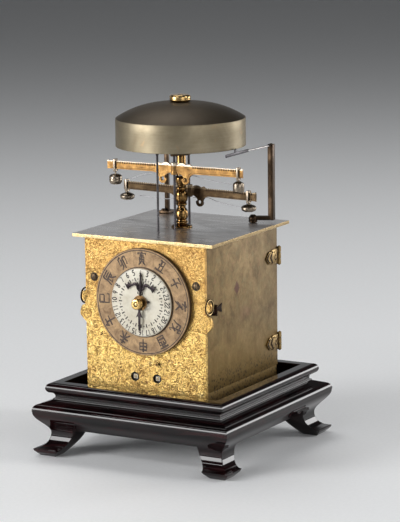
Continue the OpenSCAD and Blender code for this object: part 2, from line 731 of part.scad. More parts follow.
// Hammers
module strike_hammer() {
  reach = post_xy - hammer_xy;
  blade_x = 47.5;
  blade_y = [-20, 12];
  rod = [blade_x, blade_y[1]] - post_xy;
  tail_z = pin_xz[1];
  color([0.6, 0.58, 0.56]) {
    rod_z(hammer_xy, 66.8, top_z + 3, 1.5);
    rod_z(hammer_xy, 64.2, 67, 0.9);
    rod_z(hammer_xy, top_z + 0.4, top_z + 6.2, 3.2);
    translate([hammer_xy[0], hammer_xy[1], top_z + 2]) rotate(atan2(reach[1], reach[0]))
      translate([0, -1.9, 0]) cube([norm(reach) + 2, 3.8, 3]);
    translate([post_xy[0] - 2, post_xy[1] - 2, top_z + 2]) cube([4, 4, hammer_z + 1.6 - top_z - 2]);
    translate([post_xy[0], post_xy[1], hammer_z]) rotate(atan2(rod[1], rod[0]))
      rotate([0, 90, 0]) cylinder(h = norm(rod), r = 0.6, $fn = 24);
    translate([blade_x - 0.4, blade_y[0], hammer_z - 1.1])
      cube([0.8, blade_y[1] - blade_y[0] + 0.6, 2.2]);
    translate([blade_x - 0.9, -5, hammer_z + 1.8]) rotate([0, 90, 0])
      cylinder(h = 1, r = 1.8, $fn = 48);
    translate([28, hammer_xy[1] - 1, tail_z - 1]) cube([hammer_xy[0] - 28, 2, 2]);
  }
}

module alarm_hammer() {
  arm_l = 22;
  arm_deg = 201.3;
  arm_z = 224;
  color([0.3, 0.3, 0.35]) translate([alarm_xy[0], alarm_xy[1], 0]) {
    rod_z([0, 0], 138.6, arm_z + 1, 0.8);
    rod_z([0, 0], 136.2, 139, 0.5);
    rod_z([0, 0], 214.5, 217, 1.5);
    translate([0, 0, arm_z]) rotate(arm_deg) {
      rotate([0, 90, 0]) cylinder(h = arm_l, r = 0.6, $fn = 24);
      translate([arm_l, 0, 0]) sphere(r = 2.5, $fn = 32);
    }
    translate([0, 0, 139.5]) rotate(110) translate([0, -0.6, 0]) cube([7, 1.2, 1.2]);
  }
}

// Upright bars of the movement
module bar(y, half_w, holes) {
  foot_z = tray_floor_z + plate_t;
  difference() {
    translate([-half_w, y, foot_z]) cube([2 * half_w, bar_t, under_top_z - foot_z]);
    for (h = holes) rod_y([h[0], h[1]], y - 1, y + bar_t + 1, h[2]);
  }
}

function hole(xz, r) = [xz[0], xz[1], r + fit];

module front_bar() {
  shelf_z = 136;
  color([0.7, 0.56, 0.32]) {
    bar(front_bar_y, 18, [hole(going_xz, winding_r), hole(strike_xz, winding_r),
      hole(third_xz, pivot_r), hole(fourth_xz, pivot_r),
      hole(second_xz, 1.2), [dial_xz[0], dial_xz[1], tube_r]]);
    difference() {
      translate([-8, front_bar_y + bar_t, shelf_z])
        cube([6, alarm_xy[1] + 3 - front_bar_y - bar_t, 2.2]);
      rod_z(alarm_xy, shelf_z - 1, shelf_z + 4, 0.5 + fit);
    }
  }
}

module middle_bar() {
  color([0.7, 0.56, 0.32])
    bar(middle_bar_y, 18, [hole(going_xz, 1.2), hole(strike_xz, winding_r),
      hole(second_xz, pivot_r), hole(third_xz, pivot_r), hole(fourth_xz, pivot_r),
      hole(locking_xz, pivot_r), hole(fly_xz, pivot_r), hole(pin_xz, pivot_r)]);
}

module rear_bar() {
  shelf_z = 64;
  color([0.7, 0.56, 0.32]) {
    bar(rear_bar_y, 18, [hole(strike_xz, 1.2), hole(pin_xz, 1.2),
      hole(locking_xz, pivot_r), hole(fly_xz, pivot_r)]);
    difference() {
      union() {
        translate([18, rear_bar_y, shelf_z]) cube([hammer_xy[0] + 3 - 18, bar_t, 2.4]);
        translate([28, rear_bar_y - 6, shelf_z]) cube([hammer_xy[0] + 3 - 28, 6.6, 2.4]);
      }
      rod_z(hammer_xy, shelf_z - 1, shelf_z + 4, 0.9 + fit);
    }
    rod_y(count_xz, rear_bar_y + bar_t, rear_bar_y + bar_t + 2.8, 1.6);
  }
}

// Two hangers under the top plate that carry the escape arbor and the verge feet
module escape_bracket() {
  strip_t = 1.2;
  foot_z = verge_foot_z - 0.5;
  color([0.7, 0.56, 0.32]) for (side = [-1, 1]) {
    strip_y = side < 0 ? -3.4 : 4.2;
    verge_y = side < 0 ? front_verge_y : rear_verge_y;
    shelf_y = side < 0 ? verge_y - 2 : strip_y;
    shelf_l = side < 0 ? strip_y + strip_t - shelf_y : verge_y + 2 - strip_y;
    difference() {
      union() {
        translate([-3, strip_y, foot_z]) cube([6, strip_t, under_top_z - foot_z]);
        translate([-2.6, shelf_y, foot_z]) cube([5.2, shelf_l, 2.2]);
      }
      rod_y(escape_xz, strip_y - 1, strip_y + 3, pivot_r + 0.3 + fit);
      rod_z([0, verge_y], foot_z - 1, foot_z + 4, verge_pivot_r + fit);
    }
  }
}

// Barrel with its great wheel at one end and the wound spring inside
module barrel(xz, y, length, wheel_y) {
  drum_r = 12.3;
  difference() {
    rod_y(xz, y, y + length, drum_r);
    rod_y(xz, y + 1, y + length - 1, drum_r - 0.8);
    rod_y(xz, y - 1, y + length + 1, winding_r + fit);
  }
  difference() {
    rod_y(xz, y + 1.4, y + length - 1.4, drum_r - 1.2);
    rod_y(xz, y, y + length, 4.5);
  }
  wheel(xz, wheel_y, 1.4, wheel_teeth, train_module, 0, winding_r + fit, 4);
}

// Winding arbor with a square for the key and its ratchet wheel
module winding_arbor(xz, end_y) {
  square_w = 3;
  rod_y(xz, -44, end_y - 0.6, winding_r);
  rod_y(xz, end_y - 0.8, end_y + bar_t - 0.3, 1.2);
  on_arbor(xz, -case_y + 0.9) translate([-square_w / 2, -square_w / 2, 0])
    cube([square_w, square_w, 8]);
  on_arbor(xz, front_bar_y + bar_t + 0.5) linear_extrude(1.2)
    polygon([for (k = [0:11], p = [0:1])
      let (a = 30 * k + 26 * p, r = p == 0 ? 3.6 : 4.6) [r * cos(a), r * sin(a)]]);
}

module going_barrel() {
  color([0.78, 0.62, 0.34]) barrel(going_xz, -33.6, 15.6, -18);
}
module going_arbor() {
  color([0.6, 0.6, 0.62]) winding_arbor(going_xz, middle_bar_y);
}
module strike_barrel() {
  color([0.78, 0.62, 0.34]) barrel(strike_xz, 18.2, 13.2, 31.4);
}
module strike_arbor() {
  color([0.6, 0.6, 0.62]) winding_arbor(strike_xz, rear_bar_y);
}

module second_wheel() {
  color([0.78, 0.62, 0.34]) {
    wheel(second_xz, -13.6, 1.2, wheel_teeth, train_module, 0, 0.9, 3.4);
    pinion(second_xz, -18.4, 2.4, second_pinion_turn, train_module);
    rod_y(second_xz, -46.4, -37.9, 1.2);
    rod_y(second_xz, -37.9, middle_bar_y - 0.3, 1);
    rod_y(second_xz, middle_bar_y - 0.4, middle_bar_y + bar_t - 0.3, pivot_r);
    pinion(second_xz, -46.4, 2.4, 0, dial_module);
  }
}

module third_wheel() {
  color([0.78, 0.62, 0.34]) {
    wheel(third_xz, -6.4, 1.2, wheel_teeth, train_module, 0, 0.9, 3.4);
    pinion(third_xz, -14.2, 2.4, third_pinion_turn, train_module);
    arbor(third_xz, front_bar_y, middle_bar_y, 1);
  }
}

module fourth_wheel() {
  color([0.78, 0.62, 0.34]) {
    wheel(fourth_xz, 0.2, 1.2, wheel_teeth, train_module, 0, 0.9, 3.4);
    pinion(fourth_xz, -7, 2.4, fourth_pinion_turn, train_module);
    arbor(fourth_xz, front_bar_y, middle_bar_y, 1);
  }
}

// Crown wheel: a cup whose rim is notched into teeth that face one way
module crown(y, depth, face) {
  crown_r = 9;
  on_arbor(escape_xz, y) mirror([0, 0, face < 0 ? 1 : 0]) difference() {
    cylinder(h = depth, r = crown_r, $fn = 64);
    translate([0, 0, 0.8]) cylinder(h = depth, r = crown_r - 0.9, $fn = 64);
    for (k = [0:crown_teeth - 1]) rotate(360 * k / crown_teeth)
      translate([crown_r - 2, 0, depth - 1.2]) rotate([90, 0, 90]) linear_extrude(3)
        polygon([[0, 0], [1.7, 2.4], [-0.3, 2.4]]);
  }
}

module escape_wheel() {
  color([0.8, 0.66, 0.36]) {
    crown(-3.9, 3.1, -1);
    crown(5.9, 2.7, 1);
    rod_y(escape_xz, -4, 6, pivot_r + 0.3);
    pinion(escape_xz, -0.4, 2.4, escape_pinion_turn, train_module);
  }
}

// Second wheel of the striking train, with the pins that lift the hammer
module pin_wheel() {
  color([0.78, 0.62, 0.34]) {
    wheel(pin_xz, 35.2, 1.2, wheel_teeth, train_module, 0, 0.9, 3.4);
    pinion(pin_xz, 31, 2.4, pin_pinion_turn, train_module);
    rod_y(pin_xz, middle_bar_y + bar_t + 0.3, rear_bar_y - 0.3, 1);
    rod_y(pin_xz, middle_bar_y + 0.3, middle_bar_y + bar_t + 0.4, pivot_r);
    rod_y(pin_xz, rear_bar_y - 0.4, 45.8, 1.2);
    pinion(pin_xz, 43.4, 2.4, 0, train_module);
    for (k = [0:7])
      rod_y(pin_xz + 11.6 * [cos(45 * k), sin(45 * k)], 36.3, 39.2, 0.5);
  }
}

module locking_wheel() {
  color([0.78, 0.62, 0.34]) {
    wheel(locking_xz, 27.4, 1.2, wheel_teeth, train_module, 0, 0.9, 3.4);
    pinion(locking_xz, 34.6, 2.4, locking_pinion_turn, train_module);
    arbor(locking_xz, middle_bar_y, rear_bar_y, 1);
  }
}

// Air brake: two thin vanes on the last arbor
module fly() {
  color([0.7, 0.6, 0.4]) {
    pinion(fly_xz, 26.8, 2.4, fly_pinion_turn, train_module);
    arbor(fly_xz, middle_bar_y, rear_bar_y, 1);
    translate([fly_xz[0] - 9, 18.6, fly_xz[1] - 0.3]) cube([18, 6, 0.6]);
  }
}

// Slow wheel that counts the blows, with a slot at the end of each hour
module count_wheel() {
  y = rear_bar_y + bar_t + 0.9;
  color([0.78, 0.62, 0.34]) difference() {
    wheel(count_xz, y, 1.2, count_teeth, train_module, count_turn, 1.6 + fit, 4);
    for (k = [0:8]) rotate_slot(k * (k + 17) * 1.6) translate([12.2, -0.5, -1]) cube([1, 1, 4]);
  }
}

module rotate_slot(a) {
  on_arbor(count_xz, rear_bar_y + bar_t + 0.9) rotate(a) children();
}

rail_front();
rail_rear();
rail_left();
rail_right();
tray_floor();
leg(-1, -1);  // leg_front_left
leg(1, -1);  // leg_front_right
leg(-1, 1);  // leg_rear_left
leg(1, 1);  // leg_rear_right
front_plate();
rear_plate();
base_pan();
top_plate();
corner_posts();
front_screws();
door_left();
door_right();
door_fittings_left();
door_fittings_right();
rear_hinges();
hasp_left();
hasp_right();
dial_ring();
enamel_disc();
dial_wheel();
centre_tube();
hour_hand();
alarm_hand();
setting_knob();
pillar();
bell();
bell_nut();
verge_cock();
front_verge();
front_foliot();
rear_verge();
rear_foliot();
bob_front_left();
bob_front_right();
bob_rear_left();
bob_rear_right();
strike_hammer();
alarm_hammer();
front_bar();
middle_bar();
rear_bar();
escape_bracket();
going_barrel();
going_arbor();
second_wheel();
third_wheel();
fourth_wheel();
escape_wheel();
strike_barrel();
strike_arbor();
pin_wheel();
locking_wheel();
fly();
count_wheel();
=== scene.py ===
import json
import random
from math import atan2, cos, degrees, hypot, pi, radians as rad, sin, sqrt

import bmesh
import bpy
from mathutils import Matrix, Vector


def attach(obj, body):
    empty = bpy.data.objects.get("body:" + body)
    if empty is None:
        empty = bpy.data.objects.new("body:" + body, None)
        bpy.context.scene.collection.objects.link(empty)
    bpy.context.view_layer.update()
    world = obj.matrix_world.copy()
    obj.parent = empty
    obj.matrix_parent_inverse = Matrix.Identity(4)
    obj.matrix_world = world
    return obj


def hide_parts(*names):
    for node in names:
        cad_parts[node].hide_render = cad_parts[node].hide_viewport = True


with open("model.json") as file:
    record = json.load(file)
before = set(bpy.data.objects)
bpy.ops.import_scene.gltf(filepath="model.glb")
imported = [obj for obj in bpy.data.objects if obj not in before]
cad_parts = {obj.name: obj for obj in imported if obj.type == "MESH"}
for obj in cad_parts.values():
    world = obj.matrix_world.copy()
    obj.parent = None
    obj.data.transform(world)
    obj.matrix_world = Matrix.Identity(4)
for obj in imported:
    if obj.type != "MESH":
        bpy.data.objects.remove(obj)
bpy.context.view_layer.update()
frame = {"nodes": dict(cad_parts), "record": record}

# Lengths are in millimetres, heights from the table, and become metres in Part.done
MM = 0.001
CASE_X = 48.6
CASE_Y = 52.7
BASE_Z = 42
UNDER_TOP = 156.6
TOP_Z = 159.1
PLATE_T = 2.4
DIAL_Z = 114.4
# Depth of the two verge staffs, and x and y of the two hammer arbors
FRONT_Y, REAR_Y = -9.5, 11
STRIKER = (37.8, 36.5)
ALARM = (-5, -24.5)


def move(x=0, y=0, z=0):
    return Matrix.Translation((x, y, z))


def turn(a, axis="Z"):
    return Matrix.Rotation(rad(a), 4, axis)


def thin(k):
    """Flattens a round bar into a line drawn on a face."""
    return Matrix.Diagonal((1, 1, k, 1))


# Flat drawings in x and y are stood up: on FACE they look to the front, on SIDE to the right
FACE = Matrix(((1, 0, 0, 0), (0, 0, -1, 0), (0, 1, 0, 0), (0, 0, 0, 1)))
SIDE = Matrix(((0, 0, 1, 0), (1, 0, 0, 0), (0, 1, 0, 0), (0, 0, 0, 1)))


def stood(x, z, out=0):
    """Places a flat drawing on the front, its back a distance out from the case."""
    return move(x, -CASE_Y - out, z) @ FACE


def arc(cx, cy, r, a0, a1, n):
    steps = [rad(a0 + (a1 - a0) * i / n) for i in range(n + 1)]
    return [(cx + r * cos(a), cy + r * sin(a)) for a in steps]


def circle(cx, cy, r, n=48):
    return arc(cx, cy, r, 0, 360, n)[:-1]


def barrel(r_in, r, z0, z1, c):
    """Lathe profile of a short drum, its edges cut back by c."""
    return [(r_in, z0), (r - c, z0), (r, z0 + c), (r, z1 - c), (r - c, z1), (r_in, z1)]


# Materials by name
LOOKS = {}


class Nodes:
    """Short way to build a node tree; col is the colour as mixed so far."""

    def __init__(self, name, owner=None):
        self.name = name
        self.owner = owner or bpy.data.materials.new(name)
        self.owner.use_nodes = True
        self.tree = self.owner.node_tree
        self.tree.nodes.clear()

    def add(self, kind, sockets=None, **attrs):
        node = self.tree.nodes.new("ShaderNode" + kind)
        for k, v in attrs.items():
            setattr(node, k, v)
        for k, v in (sockets or {}).items():
            socket = node.inputs[k]
            if isinstance(v, bpy.types.NodeSocket):
                self.tree.links.new(v, socket)
            elif v is not None:
                socket.default_value = (*v, 1) if socket.type == "RGBA" else v
        return node

    def coords(self, stretch=(1, 1, 1), rot=(0, 0, 0)):
        place = self.add("TexCoord").outputs["Object"]
        return self.add("Mapping", {"Vector": place, "Scale": stretch, "Rotation": rot}).outputs[0]

    def noise(self, vec, scale, detail, rough, distort=0):
        return self.add("TexNoise", {"Vector": vec, "Scale": scale, "Detail": detail,
                                     "Roughness": rough, "Distortion": distort}).outputs["Fac"]

    def voronoi(self, vec, scale, feature="F1"):
        return self.add("TexVoronoi", {"Vector": vec, "Scale": scale}, feature=feature).outputs["Distance"]

    def ramp(self, fac, stops):
        node = self.add("ValToRGB", {"Fac": fac})
        el = node.color_ramp.elements
        while len(el) < len(stops):
            el.new(0.5)
        for e, (p, c) in zip(el, stops):
            e.position = p
            e.color = (*c, 1)
        return node.outputs["Color"]

    def level(self, fac, lo, hi, out_lo=0, out_hi=1):
        return self.add("MapRange", {"Value": fac, "From Min": lo, "From Max": hi,
                                     "To Min": out_lo, "To Max": out_hi}).outputs[0]

    def mix(self, fac, a, b):
        return self.add("Mix", {0: fac, 6: a, 7: b}, data_type="RGBA").outputs[2]

    def over(self, fac, color):
        """Lays a colour over col."""
        self.col = self.mix(fac, self.col, color)

    def wash(self, fac, lo, hi, out_lo, out_hi, color):
        """Lays a colour over col, as strongly as level says."""
        self.over(self.level(fac, lo, hi, out_lo, out_hi), color)

    def math(self, op, a, b=0):
        return self.add("Math", {0: a, 1: b}, operation=op).outputs[0]

    def plus(self, a, b):
        return self.math("ADD", a, b)

    def times(self, a, b):
        return self.math("MULTIPLY", a, b)

    def bump(self, height, distance, strength=1, normal=None):
        return self.add("Bump", {"Height": height, "Distance": distance, "Strength": strength,
                                 "Normal": normal}).outputs[0]

    def axis(self, i, kind="TexCoord", output="Object"):
        return self.add("SeparateXYZ", {0: self.add(kind).outputs[output]}).outputs[i]

    def facing(self, i):
        return self.math("ABSOLUTE", self.axis(i, "NewGeometry", "Normal"))

    def done(self, rough, metallic=0, normal=None, **more):
        p = self.add("BsdfPrincipled", {"Base Color": self.col, "Roughness": rough, "Metallic": metallic,
                                        "Normal": normal, **more})
        self.add("OutputMaterial", {0: p.outputs[0]})
        LOOKS[self.name] = self.owner


def metal(name, light, mid, dark, rough, blotch=90, tarnish=0.45, stretch=(1, 1, 1), highlight_above=None,
          tip_highlight=(0.8, 0.7, 0.56), browned=None):
    """Aged metal: fine grain along one direction, soft blotches and darker tarnish.

    Above a given height the notch tips get a painted highlight in a pale colour, and around the height browned
    it is painted browner and darker as shade."""
    n = Nodes(name)
    v = n.coords()
    grain = n.noise(n.coords(stretch), 900, 5, 0.65)
    cloud = n.noise(v, blotch, 7, 0.62, 0.4)
    specks = n.noise(v, blotch * 9, 4, 0.7)
    n.col = n.ramp(cloud, [(0.25, dark), (0.5, mid), (0.78, light)])
    n.wash(grain, 0.35, 0.7, 0, 0.35, light)
    n.wash(specks, 0.62, 0.72, 0, tarnish, dark)
    # Painted highlight: above this height the metal takes a pale colour as a glint on the notch tips
    if highlight_above:
        n.wash(n.axis(2), (highlight_above - 0.15) * MM, (highlight_above + 0.15) * MM, 0, 0.75, tip_highlight)
    # Painted shade: from around this height upward the colour turns browner and darker
    if browned:
        n.wash(n.axis(2), (browned - 25) * MM, (browned + 25) * MM, 0, 0.6, (0.46, 0.26, 0.08))
    r = n.plus(n.level(cloud, 0.3, 0.7, rough[1], rough[0]), n.level(grain, 0.3, 0.7, 0.05, -0.04))
    n.done(r, 1, n.bump(n.plus(grain, n.times(specks, 0.6)), 0.00002))


def gilt_ground():
    """Gilt plate, punched and engraved all over with fine stems, worn brown in the hollows."""
    n = Nodes("gilt_front")
    v = n.coords()
    punch = n.level(n.voronoi(v, 780), 0.1, 0.42)
    ridge = n.math("ABSOLUTE", n.math("SUBTRACT", n.noise(v, 300, 4, 0.55, 1.6), 0.5))
    line = n.level(ridge, 0.008, 0.045)
    wear = n.noise(v, 150, 5, 0.65, 0.5)
    n.col = n.ramp(wear, [(0.3, (0.35, 0.2, 0.06)), (0.44, (0.62, 0.4, 0.12)),
                          (0.58, (0.8, 0.56, 0.18)), (0.76, (0.94, 0.74, 0.34))])
    n.wash(n.noise(v, 34, 6, 0.62), 0.4, 0.62, 0.3, 0, (0.55, 0.33, 0.1))
    n.wash(punch, 0, 0.7, 0.5, 0, (0.34, 0.19, 0.05))
    n.over(n.times(n.math("SUBTRACT", 1, line), 0.85), (0.16, 0.085, 0.03))
    # Painted glints: fine pale specks
    n.wash(n.noise(v, 900, 5, 0.7), 0.58, 0.72, 0, 0.45, (1, 0.88, 0.55))
    n.wash(n.noise(v, 240, 3, 0.5), 0.64, 0.7, 0, 0.7, (0.22, 0.1, 0.05))
    # Painted shade: browner and darker towards the top
    n.wash(n.axis(2), 0.08, 0.14, 0, 0.62, (0.42, 0.225, 0.07))
    b = n.bump(punch, 0.00012, 0.8)
    b = n.bump(line, 0.00016, 0.9, b)
    b = n.bump(wear, 0.00022, 0.8, b)
    r = n.plus(n.level(wear, 0.3, 0.7, 0.5, 0.3), n.level(line, 0, 1, 0.15, 0))
    n.done(r, 0.92, b)


def door_brass():
    """Plain brass side, browned in fine upright streaks, with dark marks along the foot."""
    n = Nodes("aged_brass")
    v = n.coords()
    streak = n.noise(n.coords((1, 1, 0.55)), 480, 7, 0.72)
    cloud = n.noise(n.coords((1, 1, 0.8)), 85, 8, 0.72, 0.5)
    tint = n.noise(v, 190, 6, 0.7, 0.3)
    specks = n.noise(v, 700, 4, 0.7)
    height = n.axis(2)
    n.col = n.ramp(cloud, [(0.3, (0.115, 0.073, 0.032)), (0.5, (0.205, 0.138, 0.057)),
                           (0.72, (0.3, 0.205, 0.086))])
    n.wash(streak, 0.36, 0.66, 0.32, 0, (0.085, 0.055, 0.026))
    n.wash(streak, 0.6, 0.74, 0, 0.22, (0.42, 0.31, 0.14))
    n.wash(tint, 0.54, 0.66, 0, 0.45, (0.25, 0.135, 0.075))
    n.wash(tint, 0.46, 0.34, 0, 0.4, (0.16, 0.145, 0.075))
    n.wash(height, 0.115, 0.157, 0, 0.45, (0.06, 0.04, 0.018))
    n.over(n.times(n.level(height, 0.095, 0.06), 0.5), (0.32, 0.2, 0.055))
    n.wash(specks, 0.6, 0.68, 0, 0.45, (0.14, 0.09, 0.05))
    foot = n.level(height, 0.069, 0.06)
    marks = n.level(n.voronoi(n.coords((1, 1, 0.8)), 560), 0.46, 0.3)
    marks = n.times(marks, n.level(n.noise(v, 200, 3, 0.6), 0.4, 0.5))
    n.over(n.times(n.times(foot, marks), 0.9), (0.045, 0.032, 0.018))
    # A diamond-shaped stain on the outer face of the right side
    dy = n.math("ABSOLUTE", n.plus(n.axis(1), 0.0079))
    dz = n.math("ABSOLUTE", n.math("SUBTRACT", height, 0.1202))
    spot = n.plus(n.math("DIVIDE", dy, 0.004), n.math("DIVIDE", dz, 0.0058))
    spot = n.plus(spot, n.level(n.axis(0), 0.0484, 0.0478, 0, 5))
    spot = n.plus(spot, n.level(specks, 0.3, 0.7, -0.25, 0.25))
    n.over(n.times(n.level(n.noise(v, 26, 2, 0.5), 0.64, 0.74), 0.3), (0.3, 0.16, 0.11))
    n.wash(spot, 1.15, 0.75, 0, 0.85, (0.075, 0.028, 0.022))
    r = n.plus(n.level(cloud, 0.3, 0.7, 0.58, 0.42), n.level(streak, 0.3, 0.7, 0.05, -0.05))
    n.done(r, 0.8, n.bump(n.plus(streak, specks), 0.00004))


def silvered():
    """Silvery top with brushed lines; its cut edges show the yellow brass, painted darker as shade where they
    face the sides.
    """
    n = Nodes("silvered_brass")
    brush = n.noise(n.coords((0.05, 1, 1), (0, 0, 0.03)), 700, 5, 0.6)
    cloud = n.noise(n.coords((0.6, 1, 1)), 55, 7, 0.65, 0.6)
    specks = n.noise(n.coords(), 800, 3, 0.7)
    gold = n.ramp(specks, [(0.3, (0.38, 0.26, 0.11)), (0.7, (0.66, 0.52, 0.29))])
    # Painted shade: edges facing the sides darker than those facing front and back
    gold = n.mix(n.times(n.level(n.facing(0), 0.5, 0.9), 0.7), gold, (0.2, 0.135, 0.06))
    n.col = n.ramp(cloud, [(0.25, (0.5, 0.475, 0.46)), (0.5, (0.7, 0.675, 0.66)), (0.75, (0.84, 0.82, 0.8))])
    n.wash(brush, 0.35, 0.7, 0, 0.4, (0.86, 0.84, 0.83))
    n.wash(specks, 0.64, 0.74, 0, 0.4, (0.34, 0.31, 0.3))
    n.over(n.level(n.facing(2), 0.85, 0.6), gold)
    r = n.plus(n.level(cloud, 0.3, 0.7, 0.36, 0.24), n.level(brush, 0.3, 0.7, 0.06, -0.06))
    n.done(r, 1, n.bump(brush, 0.000003))


def bell_metal():
    """Pale bell metal on the band, painted dark on the dome as the dark reflection it shows, with turning lines
    and old stains.
    """
    n = Nodes("bell_bronze")
    v = n.coords()
    lines = n.noise(n.coords((0.03, 0.03, 1)), 1500, 4, 0.6)
    cloud = n.noise(v, 38, 7, 0.62, 0.5)
    dome = n.level(n.axis(2), 0.2372, 0.2376)
    n.col = n.ramp(cloud, [(0.25, (0.15, 0.12, 0.075)), (0.5, (0.215, 0.18, 0.12)),
                           (0.75, (0.28, 0.24, 0.165))])
    n.wash(lines, 0.4, 0.7, 0, 0.12, (0.4, 0.35, 0.26))
    n.wash(n.noise(v, 110, 8, 0.72, 0.6), 0.6, 0.68, 0, 0.55, (0.3, 0.2, 0.11))
    # Painted reflection: the dome darkened as the dark surroundings it mirrors
    n.over(n.times(dome, 0.85), (0.055, 0.042, 0.031))
    n.done(n.plus(n.level(cloud, 0.3, 0.7, 0.5, 0.42), n.times(dome, 0.04)), 1, n.bump(lines, 0.00002))


def enamel():
    """Warm greyish-white enamel, slightly uneven, with hair-thin crazing."""
    n = Nodes("enamel")
    v = n.coords()
    cloud = n.noise(v, 130, 6, 0.6)
    n.col = n.ramp(cloud, [(0.3, (0.46, 0.41, 0.31)), (0.5, (0.56, 0.52, 0.42)), (0.7, (0.62, 0.585, 0.49))])
    n.wash(n.voronoi(v, 420, "DISTANCE_TO_EDGE"), 0, 0.02, 0.1, 0, (0.4, 0.34, 0.26))
    n.done(n.level(cloud, 0.3, 0.7, 0.4, 0.3), 0, n.bump(n.noise(v, 260, 3, 0.5), 0.00004, 0.4),
           **{"Coat Weight": 0.15, "Coat Roughness": 0.15})


def copper_ring():
    """Pinkish copper ring, dull and rubbed, its wall painted dark brown as shade."""
    n = Nodes("copper_ring")
    v = n.coords()
    cloud = n.noise(v, 150, 8, 0.72, 0.9)
    rub = n.noise(v, 480, 5, 0.7)
    n.col = n.ramp(cloud, [(0.3, (0.12, 0.07, 0.035)), (0.45, (0.215, 0.138, 0.073)),
                           (0.58, (0.3, 0.195, 0.1)), (0.74, (0.4, 0.275, 0.135))])
    n.wash(rub, 0.56, 0.7, 0, 0.5, (0.15, 0.085, 0.05))
    # Painted shade: faces not looking to the front, the ring's wall, darkened
    n.over(n.times(n.level(n.facing(1), 0.75, 0.4), 0.9), (0.05, 0.03, 0.018))
    n.done(n.level(cloud, 0.3, 0.7, 0.55, 0.42), 0.55, n.bump(n.plus(rub, cloud), 0.00005))


def dark_wood():
    """Near-black hardwood under a thick polish, its long grain showing red."""
    n = Nodes("dark_wood")
    side = n.math("GREATER_THAN", n.facing(0), 0.62)
    a = n.noise(n.coords((0.1, 1, 1)), 260, 8, 0.65, 1.2)
    c = n.noise(n.coords((1, 0.1, 1)), 260, 8, 0.65, 1.2)
    grain = n.plus(n.times(a, n.math("SUBTRACT", 1, side)), n.times(c, side))
    n.col = n.ramp(grain, [(0.32, (0.001, 0.0007, 0.0009)), (0.52, (0.0025, 0.0013, 0.0015)),
                           (0.72, (0.03, 0.006, 0.007))])
    n.wash(n.noise(n.coords(), 45, 5, 0.6), 0.45, 0.75, 0, 0.4, (0.026, 0.006, 0.007))
    n.done(n.level(grain, 0.3, 0.7, 0.38, 0.28), 0, n.bump(grain, 0.00003, 0.6),
           **{"Specular IOR Level": 0, "Coat Weight": 1, "Coat Roughness": 0.05, "Coat IOR": 1.38})


def ink(name, dark, light, shine=0.3):
    n = Nodes(name)
    wear = n.noise(n.coords(), 700, 5, 0.7)
    n.col = n.ramp(wear, [(0.35, dark), (0.75, light)])
    n.done(n.level(wear, 0.3, 0.7, 0.6, 0.45), 0, n.bump(wear, 0.00002), **{"Specular IOR Level": shine})


for make in (gilt_ground, door_brass, silvered, bell_metal, enamel, copper_ring, dark_wood):
    make()
# Each metal has a light, a middle and a dark colour, its lowest and highest roughness,
# how fine its blotches are and how strong its tarnish
metal("plain_brass", (0.84, 0.66, 0.33), (0.66, 0.48, 0.21), (0.34, 0.22, 0.09), (0.22, 0.4))
metal("bright_brass", (0.95, 0.74, 0.34), (0.7, 0.46, 0.15), (0.32, 0.18, 0.06), (0.1, 0.22), 90, 0.3,
      (0.2, 0.2, 1.5))
metal("black_steel", (0.07, 0.055, 0.055), (0.025, 0.02, 0.022), (0.008, 0.006, 0.008), (0.35, 0.5))
metal("grey_steel", (0.62, 0.6, 0.58), (0.42, 0.4, 0.39), (0.2, 0.15, 0.12), (0.24, 0.42), 90, 0.45,
      (1.5, 1.5, 0.15))
metal("dark_screw", (0.22, 0.15, 0.08), (0.09, 0.06, 0.035), (0.03, 0.018, 0.012), (0.3, 0.5))
# The last number is the height above which the notch tips get a painted highlight
metal("foliot_brass", (0.5, 0.3, 0.1), (0.22, 0.115, 0.04), (0.06, 0.03, 0.016), (0.34, 0.5), 260, 0.6,
      (0.25, 1, 1.5), 204.2)
metal("weight_brass", (0.42, 0.36, 0.28), (0.2, 0.16, 0.12), (0.06, 0.045, 0.035), (0.2, 0.4), 260, 0.6)
# gilt_relief is painted browner and darker as shade from about 120 mm up
metal("gilt_relief", (0.98, 0.73, 0.32), (0.8, 0.52, 0.17), (0.34, 0.18, 0.05), (0.24, 0.4), 220, 0.5,
      browned=120)
metal("old_brass", (0.085, 0.056, 0.034), (0.036, 0.023, 0.014), (0.014, 0.009, 0.006), (0.25, 0.4), 130, 0.5,
      (1.5, 1.5, 0.3))
# A darker copy of foliot_brass, painted shade for the rear arm; its notch tips above 185.6 mm get a painted
# highlight in its last colour
metal("rear_brass_shaded", (0.12, 0.08, 0.042), (0.05, 0.032, 0.017), (0.02, 0.012, 0.008), (0.4, 0.55), 260, 0.6,
      (0.25, 1, 1.5), 185.6, (0.26, 0.2, 0.13))
metal("pillar_brass", (0.42, 0.25, 0.085), (0.12, 0.066, 0.025), (0.035, 0.02, 0.01), (0.1, 0.2), 120, 0.4)
metal("nut_brass", (0.72, 0.5, 0.22), (0.46, 0.3, 0.12), (0.15, 0.09, 0.04), (0.15, 0.3), 260)
metal("dark_rod", (0.12, 0.115, 0.12), (0.05, 0.046, 0.05), (0.02, 0.018, 0.02), (0.25, 0.45))
metal("fitting", (0.46, 0.32, 0.13), (0.24, 0.16, 0.07), (0.08, 0.05, 0.025), (0.3, 0.48), 170)
metal("hub_brown", (0.46, 0.29, 0.12), (0.24, 0.14, 0.06), (0.08, 0.045, 0.02), (0.25, 0.4), 260)
ink("engraved", (0.012, 0.007, 0.004), (0.05, 0.026, 0.014), 0.05)
ink("dial_ink", (0.015, 0.012, 0.012), (0.1, 0.08, 0.07))
ink("ring_ink", (0.018, 0.012, 0.01), (0.1, 0.065, 0.045))
